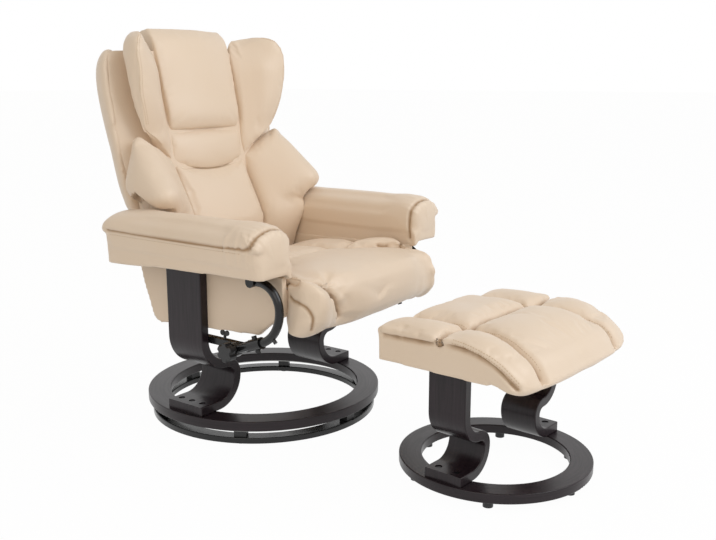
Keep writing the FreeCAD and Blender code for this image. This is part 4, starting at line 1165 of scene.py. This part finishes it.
def on_stool_side(surface, side, starts):
    inward = STOOL_TURN @ Vector((-side, 0, 0))
    return [cast(surface, start, inward) for start in starts]


def shape_stool(pad):
    """Splays the seams, rounds off the cushion's front corners, lowers its nose and lifts its rear."""
    turn, middle = np.array(STOOL_TURN), np.array(STOOL_MIDDLE)
    points = (read(pad.data) - middle) @ turn
    points[:, 0] = splay(points[:, 0], STOOL_SEAM * MM, STOOL_HALF * MM, stool_seam(points[:, 1]),
                         STOOL_HALF * MM)
    corner = np.clip((np.abs(points[:, 0]) - 0.135) / 0.103, 0, 1) ** 2 * ramp(-points[:, 1], 0.06, 0.20)
    points[:, 1] += 30 * MM * corner
    points[:, 2] -= (12 + 5 * np.sign(points[:, 0])) * MM * corner * ramp(points[:, 2], 0.30, 0.34)
    points[:, 2] -= 12 * MM * ramp(-points[:, 1], 0.15, 0.19) * ramp(-points[:, 2], -0.325, -0.300)
    points[:, 2] -= 6 * MM * ramp(points[:, 0], 0.09, 0.16) * ramp(points[:, 2], 0.335, 0.350)
    points[:, 2] += 5 * MM * ramp(points[:, 1], 0.08, 0.14) * ramp(points[:, 2], 0.332, 0.342)
    write(pad.data, points @ turn.T + middle)


# Places on a seam that are further apart than this aren't joined by thread
SEAM_BREAK = 40 * MM


class RECLINER_OT_stitches(bpy.types.Operator):
    """Lays thread along the sewn lines, one piece of stitching for each body"""
    bl_idname = "recliner.stitches"
    bl_label = "Stitches"

    def execute(self, context):
        settings = context.scene.recliner_leather
        values = {"Pitch": settings.stitch_pitch, "Length": settings.stitch_length,
                  "Radius": settings.stitch_radius, "Thread": bpy.data.materials["polyester_thread"]}
        tree = stitch_tree()
        for body, lines in SEAMS.items():
            mesh = bpy.data.meshes.new(body + "_stitches")
            corners, edges = [], []
            for line in lines:
                edges += [(len(corners) + i, len(corners) + i + 1) for i in range(len(line) - 1)
                          if np.linalg.norm(line[i + 1] - line[i]) < SEAM_BREAK]
                corners += [tuple(p) for p in line]
            mesh.from_pydata(corners, edges, [])
            obj = add_object(body + "_stitches", mesh)
            sewing = obj.modifiers.new("sewing", "NODES")
            sewing.node_group = tree
            for item in tree.interface.items_tree:
                if item.name in values and item.in_out == "INPUT":
                    sewing[item.identifier] = values[item.name]
            bake(obj)
            obj.data.shade_smooth()
            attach(obj, body)
        return {"FINISHED"}


def stitch_tree():
    """Stitches of one pitch along the edges of a mesh, each a small lens of thread."""
    tree = bpy.data.node_groups.new("stitches", "GeometryNodeTree")
    for name, way, kind in (("Geometry", "INPUT", "Geometry"), ("Pitch", "INPUT", "Float"),
                            ("Length", "INPUT", "Float"), ("Radius", "INPUT", "Float"),
                            ("Thread", "INPUT", "Material"), ("Geometry", "OUTPUT", "Geometry")):
        tree.interface.new_socket(name, in_out=way, socket_type="NodeSocket" + kind)
    given = node(tree, "NodeGroupInput", {}).outputs
    curve = node(tree, "GeometryNodeMeshToCurve", {"Mesh": given["Geometry"]})
    spaced = node(tree, "GeometryNodeResampleCurve", {"Curve": curve.outputs[0], "Length": given["Pitch"]},
                  mode="LENGTH")
    lens = node(tree, "GeometryNodeMeshUVSphere", {"Segments": 6, "Rings": 4, "Radius": 1.0})
    run = node(tree, "GeometryNodeInputTangent", {})
    turn = node(tree, "FunctionNodeAlignRotationToVector", {"Vector": run.outputs[0]}, axis="Z")
    size = node(tree, "ShaderNodeCombineXYZ", {"X": given["Radius"], "Y": given["Radius"],
                                               "Z": calc(tree, "MULTIPLY", given["Length"], 0.5)})
    laid = node(tree, "GeometryNodeInstanceOnPoints", {
        "Points": spaced.outputs[0], "Instance": lens.outputs["Mesh"],
        "Rotation": turn.outputs[0], "Scale": size.outputs[0]})
    real = node(tree, "GeometryNodeRealizeInstances", {0: laid.outputs[0]})
    dyed = node(tree, "GeometryNodeSetMaterial", {"Geometry": real.outputs[0], "Material": given["Thread"]})
    node(tree, "NodeGroupOutput", {"Geometry": dyed.outputs[0]})
    return tree


# Half width of the floor, and how much of it the camera sees as plain white
FLOOR_HALF, FLOOR_WHITE = 60, 0.975
LAMP_AIM = Vector((0, 0, 0.4))

# The camera, fitted to the chair's rings and legs; lens and sensor in mm
CAMERA_TURN, CAMERA_DROP = math.radians(-53.33), math.radians(11.93)
CAMERA_PLACE = Vector((-1724.3 * MM, SWIVEL_Y - 1599.2 * MM, 861.6 * MM))
CAMERA_LENS, CAMERA_SENSOR = 45.47, 36


class RECLINER_OT_stage(bpy.types.Operator):
    """Sets the studio floor, the light and the camera"""
    bl_idname = "recliner.stage"
    bl_label = "Studio"

    def execute(self, context):
        settings = context.scene.recliner_studio
        context.scene.view_settings.view_transform = "Standard"
        lay_floor(settings)
        light_room(settings)
        for name, power, colour, size, place in (
                ("key_lamp", settings.key, (0.93, 0.96, 1.0), 2.4, (0.9, -2.9, 2.9)),
                ("fill_lamp", settings.fill, (1.0, 0.93, 0.84), 2.0, (-2.6, -0.9, 1.9))):
            data = bpy.data.lights.new(name, "AREA")
            data.energy = power
            data.color = colour
            data.size = size
            lamp = add_object(name, data)
            lamp.location = place
            lamp.rotation_euler = (LAMP_AIM - Vector(place)).to_track_quat("-Z", "Y").to_euler()
        set_camera()
        return {"FINISHED"}


def seen(tree, *rays):
    """1 for the kinds of ray that show the background, 0 for those that only light the chair."""
    path = node(tree, "ShaderNodeLightPath", {}).outputs
    total = path[rays[0]]
    for ray in rays[1:]:
        total = calc(tree, "ADD", total, path[ray], use_clamp=True)
    return total


def lay_floor(settings):
    mesh = bpy.data.meshes.new("studio_floor")
    mesh.from_pydata([(x * FLOOR_HALF, y * FLOOR_HALF, 0) for x, y in ((-1, -1), (1, -1), (1, 1), (-1, 1))],
                     [], [(0, 1, 2, 3)])
    floor_object = add_object("studio_floor", mesh)
    # Matt studio vinyl, plain white
    tree, shader = new_material("white_studio_vinyl")[:2]
    join(tree, shader, {"Base Color": (*settings.floor, 1), "Roughness": 0.9, "Specular IOR Level": 0.1})
    # The camera sees the floor nearly white, and what is left of its own shading keeps the shadow
    share = calc(tree, "MULTIPLY", seen(tree, "Is Camera Ray", "Is Glossy Ray"), FLOOR_WHITE)
    white = node(tree, "ShaderNodeEmission", {"Color": (1, 1, 1, 1), "Strength": 1.0})
    both = node(tree, "ShaderNodeMixShader", {0: share, 1: shader.outputs[0], 2: white.outputs[0]})
    join(tree, tree.nodes["Material Output"], {"Surface": both.outputs[0]})
    mesh.materials.append(bpy.data.materials["white_studio_vinyl"])


def light_room(settings):
    world = bpy.data.worlds.new("studio")
    world.use_nodes = True
    bpy.context.scene.world = world
    tree = world.node_tree
    shown = seen(tree, "Is Camera Ray", "Is Glossy Ray", "Is Transmission Ray")
    join(tree, tree.nodes["Background"], {"Strength": spread(tree, shown, settings.ambient, 1.0),
                                          "Color": mix(tree, shown, settings.ambient_colour, (1, 1, 1))})


def set_camera():
    data = bpy.data.cameras.new("photo_camera")
    data.sensor_width = CAMERA_SENSOR
    data.lens = CAMERA_LENS
    camera = add_object("photo_camera", data)
    level = math.cos(CAMERA_DROP)
    back = Vector((math.sin(CAMERA_TURN) * level, -math.cos(CAMERA_TURN) * level, math.sin(CAMERA_DROP)))
    right = Vector((math.cos(CAMERA_TURN), math.sin(CAMERA_TURN), 0))
    camera.matrix_world = Matrix.LocRotScale(
        CAMERA_PLACE, Matrix((right, back.cross(right), back)).transposed(), None)
    bpy.context.scene.camera = camera


class RECLINER_PT_panel(bpy.types.Panel):
    bl_label = "Swivel recliner"
    bl_idname = "RECLINER_PT_panel"
    bl_space_type = "VIEW_3D"
    bl_region_type = "UI"
    bl_category = "Recliner"

    def draw(self, context):
        for group in GROUPS:
            settings = getattr(context.scene, group)
            for name in settings.__annotations__:
                self.layout.prop(settings, name)
        for operator in OPERATORS:
            self.layout.operator(operator.bl_idname)


OPERATORS = (RECLINER_OT_finishes, RECLINER_OT_base, RECLINER_OT_steelwork, RECLINER_OT_seat,
             RECLINER_OT_back, RECLINER_OT_arms, RECLINER_OT_footstool, RECLINER_OT_stitches,
             RECLINER_OT_stage)
GROUPS = {"recliner_leather": LeatherSettings, "recliner_frame": FrameSettings,
          "recliner_studio": StudioSettings}


def register():
    for name, group in GROUPS.items():
        bpy.utils.register_class(group)
        setattr(bpy.types.Scene, name, bpy.props.PointerProperty(type=group))
    for each in OPERATORS + (RECLINER_PT_panel,):
        bpy.utils.register_class(each)


def unregister():
    for each in reversed(OPERATORS + (RECLINER_PT_panel,)):
        bpy.utils.unregister_class(each)
    for name, group in GROUPS.items():
        delattr(bpy.types.Scene, name)
        bpy.utils.unregister_class(group)


def main():
    register()
    bpy.ops.recliner.finishes()
    bpy.ops.recliner.base()
    bpy.ops.recliner.steelwork()
    bpy.ops.recliner.seat()
    bpy.ops.recliner.back()
    bpy.ops.recliner.arms()
    bpy.ops.recliner.footstool()
    bpy.ops.recliner.stitches()
    bpy.ops.recliner.stage()


if __name__ == "__main__":
    main()
